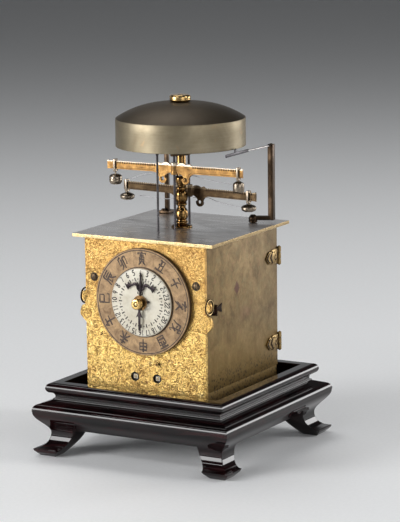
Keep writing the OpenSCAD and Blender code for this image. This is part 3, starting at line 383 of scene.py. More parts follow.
# Painted shade for holes, slots, grooves and gaps
ink("recess_shade", (0.01, 0.008, 0.006), (0.05, 0.035, 0.02))
ink("hasp_dark", (0.01, 0.005, 0.003), (0.04, 0.018, 0.009), 0.05)
ink("wire", (0.3, 0.3, 0.31), (0.72, 0.72, 0.73), 0.5)


def show(name, data):
    ob = bpy.data.objects.new(name, data)
    bpy.context.scene.collection.objects.link(ob)
    return ob


class Part:
    """Collects geometry in millimetres and hands it over as one object."""

    flip = False

    def __init__(self):
        self.bm = bmesh.new()

    def take(self, bm, m=None):
        if m is not None:
            bm.transform(m)
        me = bpy.data.meshes.new("t")
        bm.to_mesh(me)
        bm.free()
        self.bm.from_mesh(me)
        bpy.data.meshes.remove(me)

    def box(self, lo, hi, bevel=0.25, m=None, seg=2):
        bm = bmesh.new()
        bmesh.ops.create_cube(bm, size=1)
        size = [b - a for a, b in zip(lo, hi)]
        bm.transform(move(*[(a + b) / 2 for a, b in zip(lo, hi)]) @ Matrix.Diagonal((*size, 1)))
        bevel = min(bevel, min(size) * 0.4)
        bmesh.ops.bevel(bm, geom=bm.edges[:], offset=bevel, segments=seg, profile=0.5, affect="EDGES")
        self.take(bm, m)

    def loft(self, rings, m=None, caps=False, rounded=0):
        """Skins rings of points, of which one point makes a tip; rounded softens the upright corners."""
        bm = bmesh.new()
        rings = [[bm.verts.new(p) for p in ring] for ring in rings]
        for a, b in zip(rings, rings[1:]):
            n = max(len(a), len(b))
            for i in range(n):
                corners = [r[k % len(r)] for r, k in ((a, i), (a, i + 1), (b, i + 1), (b, i))]
                corners = list(dict.fromkeys(corners))
                if len(corners) > 2:
                    bm.faces.new(corners)
        if caps:
            bm.faces.new(rings[0])
            bm.faces.new(rings[-1])
        bmesh.ops.recalc_face_normals(bm, faces=bm.faces[:])
        if rounded:
            upright = [e for e in bm.edges if abs(e.verts[0].co.z - e.verts[1].co.z) > 0.01
                       and e.calc_face_angle(0) > rad(60)]
            bmesh.ops.bevel(bm, geom=upright, offset=rounded, segments=3, profile=0.5, affect="EDGES")
        self.take(bm, m)

    def lathe(self, profile, m=None, n=64):
        """Turns a closed or open profile of (radius, height) about Z."""
        self.loft([[(r * cos(2 * pi * i / n), r * sin(2 * pi * i / n), z)
                    for i in range(n if r > 1e-6 else 1)] for r, z in profile], m)

    def curve(self, cu, m=None):
        ob = bpy.data.objects.new("t", cu)
        me = bpy.data.meshes.new_from_object(ob)
        bm = bmesh.new()
        bm.from_mesh(me)
        bpy.data.objects.remove(ob)
        bpy.data.meshes.remove(me)
        bpy.data.curves.remove(cu)
        self.take(bm, m)

    def plate(self, loops, t, m, bevel, res=1):
        """Flat plate from z 0 to t with rounded edges; inner loops are holes."""
        cu = bpy.data.curves.new("t", "CURVE")
        cu.dimensions = "2D"
        cu.fill_mode = "BOTH"
        cu.extrude = t / 2 - bevel
        cu.bevel_depth = bevel
        cu.bevel_resolution = res
        cu.offset = -bevel
        for loop in loops:
            sp = cu.splines.new("POLY")
            sp.points.add(len(loop) - 1)
            for p, (x, y) in zip(sp.points, loop):
                p.co = (x, y, 0, 1)
            sp.use_cyclic_u = True
        self.curve(cu, m @ move(0, 0, t / 2))

    def tube(self, points, r, m, radii=None, res=1, smooth=False, closed=False):
        """Round bar along points; smooth runs a soft curve through them."""
        cu = bpy.data.curves.new("t", "CURVE")
        cu.dimensions = "3D"
        cu.bevel_depth = r
        cu.bevel_resolution = res
        cu.use_fill_caps = True
        cu.resolution_u = 6
        points = [(*p, 0) if len(p) == 2 else p for p in points]
        sp = cu.splines.new("BEZIER" if smooth else "POLY")
        pts = sp.bezier_points if smooth else sp.points
        pts.add(len(points) - 1)
        for i, (p, q) in enumerate(zip(pts, points)):
            if smooth:
                p.co = q
                p.handle_left_type = p.handle_right_type = "AUTO"
            else:
                p.co = (*q, 1)
            p.radius = radii[i] if radii else 1
        sp.use_cyclic_u = closed
        self.curve(cu, m)

    def rod(self, a, b, r, n=24):
        """Straight round bar between two points with softened ends."""
        a, b = Vector(a), Vector(b)
        d = b - a
        m = move(*a) @ d.to_track_quat("Z", "Y").to_matrix().to_4x4()
        self.lathe(barrel(0, r, 0, d.length, min(0.15, r * 0.4)), m, n)

    def done(self, name, body, slot=None, nodes=(), look=None, angle=32, even=False):
        """Makes the object and starts afresh; even keeps broad faces flat up to their rounded edges.

        With flip set, what was built for the right side is mirrored to the left."""
        me = bpy.data.meshes.new(name)
        if self.flip:
            self.bm.transform(Matrix.Diagonal((-1, 1, 1, 1)))
            bmesh.ops.reverse_faces(self.bm, faces=self.bm.faces[:])
        bmesh.ops.remove_doubles(self.bm, verts=self.bm.verts[:], dist=1e-4)
        self.bm.transform(Matrix.Scale(MM, 4))
        self.bm.to_mesh(me)
        self.bm.free()
        self.bm = bmesh.new()
        me.shade_smooth()
        me.set_sharp_from_angle(angle=rad(angle))
        me.materials.append(LOOKS[look or slot])
        ob = show(name, me)
        if even:
            mod = ob.modifiers.new("even", "WEIGHTED_NORMAL")
            mod.keep_sharp = True
            mod.weight = 80
        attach(ob, body)
        if nodes:
            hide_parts(*nodes)


# Nearly all pieces are built in this one
part = Part()
box, lathe, loft, plate = part.box, part.lathe, part.loft, part.plate
tube, rod, done = part.tube, part.rod, part.done

# Stand: profile of the rails as (distance from the middle, height), and the legs under their corners
KNEE = (69.6, 16.2)
TOE = (79.1, 5.2)
LEG_TOP = 20.2
SWELL_END = 31.7


def ogee(z):
    return KNEE[0] + (79.03 - KNEE[0]) * (1 + cos(pi * (SWELL_END - z) / (SWELL_END - KNEE[1]))) / 2


RAIL = [(62, 51.9), (62.4, 52.3), *arc(68.4, 48.6, 3.7, 90, -60, 16), *arc(70, 42.3, 3.1, 95, 180, 10),
        (66.9, 41.2), *arc(67.6, 40.5, 0.7, 90, 0, 5), (68.3, 40.1), *arc(74.88, 33.2, 4.39, 72, -20, 14),
        *[(ogee(SWELL_END - 11.5 * i / 12), SWELL_END - 11.5 * i / 12) for i in range(1, 13)],
        (54.4, LEG_TOP), (54, 20.6), (54, 38), (62, 38)]
for k, name in enumerate(("rail_front", "rail_right", "rail_rear", "rail_left")):
    loft([[(s * h, -h, z) for h, z in RAIL] for s in (-1, 1)], turn(90 * k), caps=True)
    done(name + "_wood", "stand", "dark_wood", [name], angle=38, even=True)


def leg_outer(z):
    if z > KNEE[1]:
        return ogee(z)
    if z > TOE[1]:
        s = (KNEE[1] - z) / (KNEE[1] - TOE[1])
        return TOE[0] - (TOE[0] - KNEE[0]) * sqrt(max(0, 1 - s * s))
    if z > 3.6:
        return 78.5 + 0.6 * (z - 3.6) / 1.6
    return 74.9 + z - (0.35 if z == 0 else 0)


def leg_inner(z):
    return 50.5 + 12.7 * (1 - sin(rad(90 * z / LEG_TOP)))


LEG_ZS = [0, 0.5, 1.2, 2.4, 3.6, 4.4, 5.2, 5.35, 5.6, 6, 6.6, *[7.3 + 0.75 * i for i in range(18)], LEG_TOP]
for name, sx, sy in (("leg_front_left", -1, -1), ("leg_front_right", 1, -1),
                     ("leg_rear_left", -1, 1), ("leg_rear_right", 1, 1)):
    rings = []
    for z in LEG_ZS:
        o, i = leg_outer(z), leg_inner(z)
        rings.append([(sx * x, sy * y, z) for x, y in ((i, i), (o, i), (o, o), (i, o))])
    loft(rings, caps=True, rounded=0.45)
    done(name + "_wood", "stand", "dark_wood", [name], angle=45, even=True)

# Case
KEY_HOLES = {"going_arbor": (-9, 59.8), "strike_arbor": (9, 59.8)}
KEY_HOLE_R = 3.1
SCREWS = [(-41.3, 128.5), (41.3, 128.5)]
PEG = (10.8, 70.4)
# Edge of the front plate as (distance outside the case, height)
EDGE = [(0, 95.6), (1.6, 97), (3.3, 98.6), (4.4, 99.9), (4.75, 100.6), (4.9, 101.4), (4.85, 102.6),
        (4.7, 103.6), (4.4, 104.8), (3.9, 106), (3.4, 106.8), (3, 107.3), (2, 107.75), (0.9, 107.9),
        (0.9, 110.2), (1.9, 110.4), (2.8, 110.8), (3.5, 111.6), (3.9, 112.4), (4.1, 113.4), (4.2, 114.4),
        (4.1, 115.4), (3.9, 116.2), (3.5, 116.9), (2.8, 117.4), (1.9, 117.75), (0.9, 117.9), (0.4, 118.2),
        (0, 118.6)]
right = [(CASE_X, BASE_Z), *[(CASE_X + d, z) for d, z in EDGE], (CASE_X, UNDER_TOP)]
outline = right + [(-x, z) for x, z in reversed(right)]
holes = [circle(*at, KEY_HOLE_R, 40) for at in KEY_HOLES.values()]
plate([outline, circle(0, DIAL_Z, 4), *holes, circle(*PEG, 1, 20)], PLATE_T, stood(0, 0, -PLATE_T), 0.2)
done("front_plate_gilt", "clock", "gilt_front", ["front_plate"], even=True)

# Engraved stems: spirals with leaves, raised a little from the punched ground
rng = random.Random(7)
CLEAR = [*[(*at, 4.5) for at in KEY_HOLES.values()], (*PEG, 2.2), *[(*at, 4.4) for at in SCREWS]]


def free_spot(x, z, r):
    if hypot(x, z - DIAL_Z) < 39.3 + r or abs(x) + r > 47.4 or not 43.6 + r < z < 155.4 - r:
        return False
    return all(hypot(x - a, z - b) > c + r for a, b, c in CLEAR)


shade = Part()
spots = []
for _ in range(9000):
    r = rng.choice([5.2, 4.2, 3.4, 2.6, 2, 1.5])
    x, z = rng.uniform(-48, 48), rng.uniform(44, 154)
    if free_spot(x, z, r) and all(hypot(x - a, z - b) > (r + c) * 0.93 for a, b, c in spots):
        spots.append((x, z, r))
flat = stood(0, 0) @ thin(0.55)
COIL_STEPS = 15
for x, z, r in spots:
    sense = rng.choice([-1, 1])
    a0 = rng.uniform(0, 360)
    turns = 1.7 if r > 3 else 1.2
    pts, radii = [], []
    for i in range(COIL_STEPS):
        t = i / (COIL_STEPS - 1)
        rr = r * (0.96 * (1 - t) ** 0.8 + 0.1)
        a = rad(a0 + sense * 360 * turns * t)
        pts.append((x + rr * cos(a), z + rr * sin(a)))
        radii.append(1 - 0.55 * t)
    tube(pts, 0.24 if r > 2 else 0.18, flat, radii)
    tube([pts[-1], (pts[-1][0] + 0.01, pts[-1][1])], 0.42 if r > 2 else 0.3, flat)
    for i in range(1, COIL_STEPS - 4, 2):
        px, pz = pts[i]
        out = atan2(pz - z, px - x) + sense * 0.9
        bend = out + sense * 0.8
        step = 0.55 * r * 0.42 * (1 - 0.5 * i / COIL_STEPS)
        mx, mz = px + step * cos(out), pz + step * sin(out)
        tx, tz = mx + step * cos(bend), mz + step * sin(bend)
        if free_spot(tx, tz, 0):
            tube([(px, pz), (mx, mz), (tx, tz)], 0.26, flat, [0.6, 1, 0.25])
            if r > 2.4 and i % 4 == 1:
                # Painted shadow: a thin dark stroke below and right of the leaf
                shade.tube([(px + 0.2, pz - 0.35), (mx + 0.2, mz - 0.45), (tx + 0.1, tz - 0.3)],
                           0.15, stood(0, 0) @ thin(0.25), [0.5, 1, 0.3])
done("front_plate_stems", "clock", "gilt_front", look="gilt_relief", angle=60)
shade.done("front_plate_leaf_shadows", "clock", look="engraved")

# Key holes: painted shade inside, the square ends of the arbors, raised rims, and a small punched star beside
# them
for at in KEY_HOLES.values():
    lathe([(3.4, -0.06), (3.36, -0.1), (3.12, -0.08), (3.08, 0.1), (3.08, 1.9), (0, 1.95)],
          stood(*at) @ turn(180, "X"))
done("key_hole_shade", "clock", look="recess_shade")
for name, (x, z) in KEY_HOLES.items():
    box((x - 1.5, -CASE_Y + 0.9, z - 1.5), (x + 1.5, -CASE_Y + 2.2, z + 1.5), 0.3, seg=3)
    done(name + "_end", name, "grey_steel", look="plain_brass")
for at in KEY_HOLES.values():
    lathe([(3.3, -0.1), (3.32, 0.11), (3.45, 0.16), (3.7, 0.1), (3.75, -0.1)], stood(*at), 40)
lathe([(1, -0.1), (1.05, 0.12), (1.3, 0.14), (1.45, -0.1)], stood(*PEG), 24)
done("hole_rims", "clock", "gilt_front", angle=50)
for k in range(6):
    a = rad(60 * k + 15)
    tube([(PEG[0] + q * cos(a), PEG[1] + q * sin(a)) for q in (1.5, 2.9)], 0.26,
         stood(0, 0) @ thin(0.4), [1, 0.2])
for px, pz, pr in ((-20.8, 65, 0.7), (-20.2, 65.9, 0.3), (-36, 88, 1.1), (-35.2, 89.4, 0.6)):
    lathe([(pr, -0.05), (pr * 0.8, 0.06), (0, 0.08)], stood(px, pz), 14)
done("front_marks", "clock", look="engraved")

# Screws with slotted, slightly domed heads; their slots and the rings round the heads painted dark as shade
for at in SCREWS:
    lathe([(0, 0.9), (1.2, 0.86), (2, 0.66), (2.45, 0.3), (2.5, 0), (2.2, -0.1)], stood(*at), 40)
done("screw_heads", "clock", "dark_screw", ["front_screws"])
for i, at in enumerate(SCREWS):
    box((-2.1, -0.32, 0.5), (2.1, 0.32, 0.93), 0.05, stood(*at) @ turn(55 + 40 * i))
    lathe([(2.5, -0.05), (2.55, 0.07), (3.1, 0.05), (3.2, -0.05)], stood(*at), 40)
done("screw_slot_shade", "clock", look="recess_shade")

box((-46.7, CASE_Y - PLATE_T, BASE_Z), (46.7, CASE_Y, UNDER_TOP), 0.2)
done("rear_plate_brass", "clock", "aged_brass", ["rear_plate"])

TOP_HALF = 56.5
tops = [[(sx * TOP_HALF, sy * TOP_HALF) for sx, sy in ((-1, -1), (1, -1), (1, 1), (-1, 1))]]
for x, y, r in ((0, FRONT_Y, 1.3), (0, REAR_Y, 1.3), (*ALARM, 0.85), (*STRIKER, 1.55), (0, 0, 2.5)):
    tops.append(circle(x, y, r, 32))
plate(tops, 2.5, move(0, 0, UNDER_TOP), 0.3, res=2)
done("top_plate_silvered", "clock", "silvered_brass", ["top_plate"], even=True)

# Doors
HINGE_X = CASE_X + 1
HINGE_Y = CASE_Y + 1
HINGES = (133.5, 70.5)
HASP_Z = 114.2
HASP_PIN = (CASE_X + 2.2, -42.4)
RING_Y = -CASE_Y + 2
# Upper half of a strap, the two chevrons on it as tip, back, half height and width, and the hasp's bow
STRAP = [(34.4, 0), (38, 3.8), (39, 4.5), (40.6, 4.7), (41.4, 4.4), (40.5, 3.1), (41.9, 3.9), (43.2, 5),
         (44.4, 5.35), (51.5, 5.4), (51.95, 5.2)]
CHEVRONS = ((34.7, 38.4, 3.8, 2.1), (39.7, 43.2, 4.6, 2.3))
BOW = [(-1.8, -7.3), (-1.8, 0.3), (2, -0.8), (6.2, -2.6), (9.4, -1.2), (12.2, -0.5), (11.4, -3.7),
       (12.2, -6.9), (9.4, -6.3), (6.2, -4.9), (2, -6.5)]

dark = Part()
for side in ("right", "left"):
    part.flip = dark.flip = side == "left"
    body, hasp = "door_" + side, "hasp_" + side
    box((CASE_X - 1.6, -50.1, 53.05), (CASE_X, 52.3, UNDER_TOP - 0.1), 0.1)
    done("door_panel_" + side, body, "aged_brass", [body])
    on_door = move(CASE_X, 0, 0) @ SIDE
    for z in HINGES:
        strap = [(y, z + h) for y, h in STRAP] + [(y, z - h) for y, h in STRAP[:0:-1]]
        plate([strap], 1, on_door, 0.2)
        box((CASE_X, 50.7, z - 2.2), (CASE_X + 1, 52.9, z + 2.2), 0.15)
        lathe(barrel(0.75, 1.4, -2.2, 2.2, 0.2), move(HINGE_X, HINGE_Y, z), 32)
        for rz in (3.6, -3.6):
            lathe([(0, 0.4), (0.45, 0.34), (0.75, 0.1), (0.8, 0)],
                  move(CASE_X + 1, 46.2, z + rz) @ turn(90, "Y"), 20)
        engrave = on_door @ move(0, 0, 0.98) @ thin(0.3)
        for tip, back, h, w in CHEVRONS:
            chevron = [(tip, 0), (back, h), (back + 0.7 * w, 0.9 * h), (tip + w, 0),
                       (back + 0.7 * w, -0.9 * h), (back, -h)]
            dark.plate([[(y, z + v) for y, v in chevron]], 0.16, on_door @ move(0, 0, 0.93), 0.04)
        swirl = [(48.4 + (0.4 + 0.27 * k) * cos(k * 0.8),
                  z + (0.4 + 0.33 * k) * sin(k * 0.8)) for k in range(10)]
        dark.tube(swirl, 0.42, engrave, smooth=True)
        dark.tube([(51.6, z + 4.9), (51.6, z - 4.9)], 0.35, engrave)
    done("door_straps_" + side, body, "aged_brass", ["door_fittings_" + side], "fitting")
    lo, hi = HASP_Z - 7.3, HASP_Z + 0.3
    plate([[(HASP_PIN[1] + y, HASP_Z + z) for y, z in BOW]], 0.5, on_door, 0.12)
    for z in (lo, hi - 1):
        lathe(barrel(0, 1.3, 0, 1, 0.15), move(*HASP_PIN, z), 28)
        box((CASE_X, HASP_PIN[1] - 1.3, z), (HASP_PIN[0], HASP_PIN[1] + 1.3, z + 1), 0.12)
    rod((*HASP_PIN, lo), (*HASP_PIN, hi), 0.6, 16)
    done("hasp_mount_" + side, body, "aged_brass", look="hasp_dark")
    dark.done("door_engraving_" + side, body, look="engraved")

    # Painted shade: the ring is dark all over
    ring = [(5.2 + 0.65 * cos(rad(a)), 0.5 * sin(rad(a))) for a in range(0, 361, 24)]
    lathe(ring, move(CASE_X + 1.9, RING_Y, HASP_Z) @ turn(90, "Y"))
    done("hasp_ring_" + side, hasp, "aged_brass", [hasp], "hasp_dark")
    # Painted highlight: a thin bright ring along the front of the dark ring
    tube(circle(0, 0, 5.15), 0.3, move(CASE_X + 2.25, RING_Y, HASP_Z) @ turn(90, "Y"), res=2, closed=True)
    done("hasp_highlight_" + side, hasp, "aged_brass", look="plain_brass")
    box((CASE_X + 1.4, RING_Y + 4.3, HASP_Z - 5.4), (CASE_X + 2.4, HASP_PIN[1], HASP_Z - 1.8), 0.25)
    lathe(barrel(0.65, 1.3, 0, 5, 0.15), move(*HASP_PIN, HASP_Z - 6), 28)
    done("hasp_barrel_" + side, hasp, "aged_brass", look="hasp_dark")

    # Fixed leaves on the back, with two knuckles and a pin with small finials
    for z in HINGES:
        box((40, CASE_Y, z - 6.5), (CASE_X - 1, CASE_Y + 1, z + 6.5), 0.18)
        for t in (-4.5, 4.5):
            box((CASE_X - 2, CASE_Y, z + t - 2), (HINGE_X, CASE_Y + 1, z + t + 2), 0.12)
            lathe(barrel(0.7, 1.4, -2, 2, 0.2), move(HINGE_X, HINGE_Y, z + t), 32)
        lathe([(0, -7.2), (0.45, -7.1), (0.7, -6.8), (0.7, 6.8), (0.45, 7.1), (0, 7.2)],
              move(HINGE_X, HINGE_Y, z), 20)
        for rz in (-4, 4):
            lathe([(0, 0.45), (0.6, 0.36), (1, 0.1), (1.05, 0)],
                  move(43.5, CASE_Y + 1, z + rz) @ turn(-90, "X"), 20)
    done("rear_hinge_" + side, "clock", "aged_brass", ["rear_hinges"], "fitting")
part.flip = False

# Dial
RING = stood(0, DIAL_Z, 3.3)
DISC = stood(0, DIAL_Z, 5.5)
lathe([(3.2, -1.4), (3.2, 0), (24, 0), (36.2, 0), (36.45, -0.16), (36.75, -0.16), (37, 0), (37.6, 0),
       (37.9, -0.2), (38, -0.5), (38, -2.6), (37.8, -2.9), (37.2, -2.9), (37, -2.7), (37, -1.4), (3.2, -1.4)],
      RING, 160)
done("dial_ring_copper", "dial", "copper_ring", ["dial_ring"])

# Strokes on a square of 100 units, for the twelve hour characters
BRANCHES = {
    "tiger": "50,100 51,92/16,78 16,89 86,89 83,79/30,76 70,76/30,62 31,26 69,26 70,62 30,62/31,44 69,44/"
             "50,76 50,27/40,22 20,2/62,22 82,2",
    "ox": "25,88 72,88 68,10/46,88 38,10/25,52 71,52/8,10 93,10",
    "rat": "20,90 80,90 51,70/51,70 51,9 37,16/8,50 93,50",
    "boar": "50,100 54,88/8,85 92,85/50,84 30,61 61,61 14,21/77,66 46,34 14,3/55,35 88,3",
    "dog": "15,78 89,78/18,78 17,38 6,4/30,54 51,54/53,98 62,45 86,4 95,20/83,56 62,27 38,8/72,97 83,87",
    "cock": "8,91 92,91/19,68 81,68 80,7 20,7 19,68/40,91 38,47/61,91 61,48 78,46/21,27 80,27",
    "ape": "18,83 82,83 81,31 19,31 18,83/19,57 81,57/50,100 50,0",
    "sheep": "23,79 77,79/8,55 92,55/50,99 50,0/48,52 9,9/52,52 92,9",
    "horse": "35,99 16,69/30,81 82,81/8,48 93,48/51,81 51,0",
    "snake": "18,91 80,91 80,54/19,54 80,54/18,91 19,11 89,11 90,30",
    "dragon": "17,91 88,91/18,91 17,42 7,4/31,73 81,73/22,55 91,55/34,55 35,8 52,19/81,47 57,31/"
              "51,55 66,25 92,3",
    "hare": "42,96 17,83 18,31 37,45/42,79 41,22 21,2/60,87 87,87 86,29 76,35/60,87 60,2",
}


def stroke(text, w, h, x0, y0):
    """Points of a stroke, its square scaled to w and h and moved to x0 and y0."""
    pts = [p.split(",") for p in text.split()]
    return [(x0 + float(x) / 100 * w, y0 + float(y) / 100 * h) for x, y in pts]


for k, strokes in enumerate(BRANCHES.values()):
    for text in strokes.split("/"):
        pts = stroke(text, 8.7, 9.5, -4.35, 26.2)
        tube(pts, 0.6, RING @ turn(-30 * k) @ thin(0.14), [1.2] + [1] * (len(pts) - 2) + [0.8])
for r, w in ((24.7, 0.34), (36.6, 0.3)):
    tube(circle(0, 0, r, 96), w, RING @ thin(0.2), closed=True)
done("dial_ring_signs", "dial", look="ring_ink", angle=60)

lathe([(3.2, 1.2), (8, 1.22), (16, 1.2), (22.6, 1.16), (23.6, 1.06), (24.1, 0.8), (24.2, 0.4), (24.1, 0),
       (9, 0), (9, -1), (3.2, -1), (3.2, 1.2)], stood(0, DIAL_Z, 4.3), 128)
done("enamel_face", "dial", "enamel", ["enamel_disc"])

DIGITS = {
    "0": "30,0 8,25 6,70 30,100 53,72 52,26 30,0",
    "1": "16,78 34,100 34,0",
    "2": "5,76 16,96 38,99 52,82 44,58 5,2 58,3",
    "3": "6,92 30,100 50,82 24,55 54,32 38,2 4,8",
    "4": "43,0 42,100 3,33 60,34",
    "5": "53,99 15,98 10,58 38,60 54,32 35,3 4,8",
    "6": "49,96 20,78 6,35 22,2 46,6 53,30 34,50 9,34",
    "7": "4,99 57,98 24,0",
    "8": "30,54 9,77 29,100 50,78 30,54 6,24 30,0 54,26 30,54",
    "9": "52,66 27,50 8,72 26,99 49,92 52,62 36,2",
}
SHARP = "147"
for k in range(1, 25):
    label = str(k)
    place = DISC @ turn(15 * (k - 4))
    for i, ch in enumerate(label):
        shift = (i - (len(label) - 1) / 2) * 2.15 - 0.9
        tube(stroke(DIGITS[ch], 3, 3.7, shift, 19.5), 0.37, place @ thin(0.12), smooth=ch not in SHARP)
    tube([(0, 15.3), (0, 17.9)], 0.5, place @ thin(0.1), [0.8, 1])
    for off in (-0.36, 0.36):
        tube([(off, 16.2), (off, 17.3)], 0.2, place @ turn(7.5) @ thin(0.2))
tube(circle(0, 0, 23.75, 96), 0.06, DISC @ thin(0.2), closed=True)
done("enamel_figures", "dial", look="dial_ink", angle=60)

# Hour hand: ring at the hub, knot, two scrolled branches with axe-shaped ends, spear
HAND_BRANCH = (
    (0.7, 8.2), (1.9, 8.6), (2.9, 9.9), (3.4, 11.4), (4.2, 12.35), (5.3, 12.2), (6.5, 11.3), (7.6, 10.9),
    (8.6, 10.2), (9.4, 9), (9.8, 8.2), (10.5, 9.2), (11.6, 10.5), (12.5, 12.2), (11.2, 12), (10.2, 12.4),
    (9.8, 13.3), (9.4, 14.4), (9, 13.3), (8.5, 12.5), (7.6, 12.4), (6.6, 12.9), (5.7, 13.9), (4.5, 14.2),
    (3.4, 14), (2.7, 13.2), (2.2, 11.9), (1.6, 10.4))
spear = [(-0.75, 4.9), (-0.7, 7.2), (-0.8, 8.2), (-1, 9.6), (-0.9, 12), (-0.8, 15.4), (-0.65, 18.6),
         (-1, 19.3), (0, 22), (1, 19.3), (0.65, 18.6), (0.8, 15.4), (0.9, 12), (1, 9.6), (0.8, 8.2),
         (0.7, 7.2), (0.75, 4.9)]
hand = stood(0, DIAL_Z, 6.4) @ turn(-2.5)
lathe([(0, 0.6), (0.8, 0.5), (1.1, 0.25), (1, 0)], hand @ move(6.4, 1.4, 0), 20)
plate([spear], 0.6, hand, 0.16)
for sx in (-1, 1):
    plate([[(sx * x, y) for x, y in HAND_BRANCH]], 0.55, hand, 0.16)
    tube([(sx * 0.5, 9.6), (sx * 1.5, 11), (sx * 1.9, 13.2), (sx * 3.3, 16)], 0.36,
         hand @ move(0, 0, 0.3), [1.2, 1, 1.3, 0.4])
    tube([(sx * 0.4, 6.6), (sx * 1.6, 6.4), (sx * 2.1, 7.3), (sx * 1.3, 7.9)], 0.3,
         hand @ move(0, 0, 0.3), smooth=True)
done("hour_hand_steel", "clock", "black_steel", ["hour_hand"])
lathe([(1.7, -0.6), (2.5, -0.6), (2.6, -0.4), (2.6, 0), (4.4, 0.05), (4.5, 0.5), (4.95, 0.62), (5.4, 0.42),
       (5.4, 0.1), (4.4, -0.02)], hand)
lathe([(1.7, 0.05), (3.4, 0.1), (3.6, 0.3), (1.7, 0.35)], hand, 48)
done("hour_hand_hub", "clock", "black_steel", look="hub_brown")

setter = stood(0, DIAL_Z, 7.6)
lathe([(0.9, 0), (2.2, 0), (2.4, 0.15), (2.4, 0.45), (2.2, 0.6), (0.9, 0.6)], setter, 32)
barb = [(0.9, -2), (0.8, -5.8), (1.3, -7.2), (2, -8.7), (2.6, -10.2), (1.6, -9.7), (0.9, -9.3), (0.85, -18.2),
        (0.85, -18.9), (0, -19.6)]
plate([barb + [(-x, y) for x, y in barb[-2::-1]]], 0.6, setter, 0.1)
done("alarm_hand_steel", "alarm_setting", "black_steel", ["alarm_hand"])

knob = stood(0, DIAL_Z, 8.4)
lathe([(0, 0), (3.2, 0), (3.4, 0.2), (3.4, 1), (3.1, 1.3), (3.05, 1.8), (3.3, 2.1), (3.75, 2.5), (3.9, 3),
       (3.85, 3.7), (3.6, 4.15), (3.2, 4.4), (2.4, 4.5), (1.8, 4.48), (1.6, 4.3), (1.35, 4.1), (1, 4),
       (0.5, 4.1), (0, 4.3)], knob)
rod((0, -CASE_Y - 12.4, DIAL_Z), (0, -35, DIAL_Z), 0.9)
lathe([(0, 0), (8, 0), (8, 1.2), (0, 1.2)], stood(0, DIAL_Z, -16.9))
done("setting_knob_brass", "alarm_setting", "bright_brass", ["setting_knob"])
# Painted shade in the front dimple and the groove of the knob
lathe([(1, 4.03), (1.35, 4.14), (1.6, 4.34), (1.35, 4.08)], knob, 48)
lathe([(3.02, 1.35), (3.2, 1.4), (3.2, 1.9), (3.02, 1.95)], knob, 48)
done("setting_knob_groove_shade", "alarm_setting", look="recess_shade")

# Pillar as (height over the top plate, radius)
TURNED = [(0, 7.3), (0.3, 7.5), (0.9, 7.5), (1.2, 7.2), (1.5, 6), (1.8, 4.9), (2.4, 3.6), (2.8, 3.7),
          (3.1, 4.2), (3.5, 4.45), (3.9, 4.4), (4.3, 4.1), (4.7, 3.5), (5.1, 3.4), (5.8, 3.8), (6.6, 4.3),
          (8, 4.65), (9.5, 4.7), (11, 4.4), (12.4, 4), (13.4, 3.3), (14, 3), (15, 2.8), (15.4, 3.1),
          (15.7, 3.7), (16.2, 3.95), (16.8, 3.95), (17.3, 3.6), (17.6, 3.2), (18.2, 3.8), (19, 4.3),
          (20.5, 4.55), (22, 4.6), (23.6, 4.5), (25, 4.3), (26, 3.6), (26.5, 3.2), (26.9, 3.6), (27.3, 4.05),
          (27.9, 4.15), (28.4, 4.05), (28.8, 3.5), (29.2, 3.1), (30, 3.3), (31, 3.7), (32, 4.1), (33, 4.4),
          (34, 4.55), (35, 4.6), (35.8, 4.3), (36.4, 3.9), (36.9, 3.5), (37.4, 3.3), (39.5, 3.3), (40.4, 3.5),
          (40.9, 4.1), (41.6, 4.25), (42.4, 4.1), (43, 3.6), (43.5, 3.4), (86, 3.2), (86.6, 3.6), (87, 4.8),
          (88.5, 4.8)]
lathe([(r, TOP_Z + h) for h, r in TURNED] + [(2.1, 246.8), (2.1, 251.5), (0, 251.8)])
done("pillar_turned", "clock", "bright_brass", ["pillar"], "pillar_brass")

# Bell: half its dome from the shoulder in, by shares of the radius
DOME = (0.995, 0.985, 0.96, 0.93, 0.89, 0.84, 0.78, 0.71, 0.64, 0.56, 0.48, 0.4, 0.32, 0.24, 0.17)
BELL_TOP = 248.6


def bell_half(inset):
    r, top, shoulder = 46.15 - inset, BELL_TOP - inset, 237.3 - inset
    dome = [(r * k, shoulder + (top - shoulder) * (1 - k ** 2.7)) for k in DOME]
    return [(r, shoulder), *dome, (5.5, top), (2.2, top)]


lathe([(44.35, 217.9), (44.6, 217.65), (45.9, 217.6), (46.15, 217.85), (46.15, 225), (46.15, 231),
       (46.15, 236.9),
       *bell_half(0)[1:], *bell_half(1.8)[::-1], (44.35, 217.9)], None, 160)
done("bell_shell", "clock", "bell_bronze", ["bell"], angle=24)

lathe([(2.2, 0), (5.8, 0), (6.6, 0.3), (6.9, 0.5), (7.3, 0.9), (7.5, 1.3), (7.58, 1.9), (7.5, 2.2), (7.1, 2.35),
       (7.1, 2.6), (7.5, 2.75), (7.5, 3.6), (7.35, 4), (7.1, 4.4), (6.7, 4.75), (6.3, 4.9), (5, 5.05),
       (2, 5.1), (1.8, 4.9), (0.6, 4.9), (0, 5)], move(0, 0, BELL_TOP))
done("bell_nut_brass", "clock", "bright_brass", ["bell_nut"], "nut_brass")

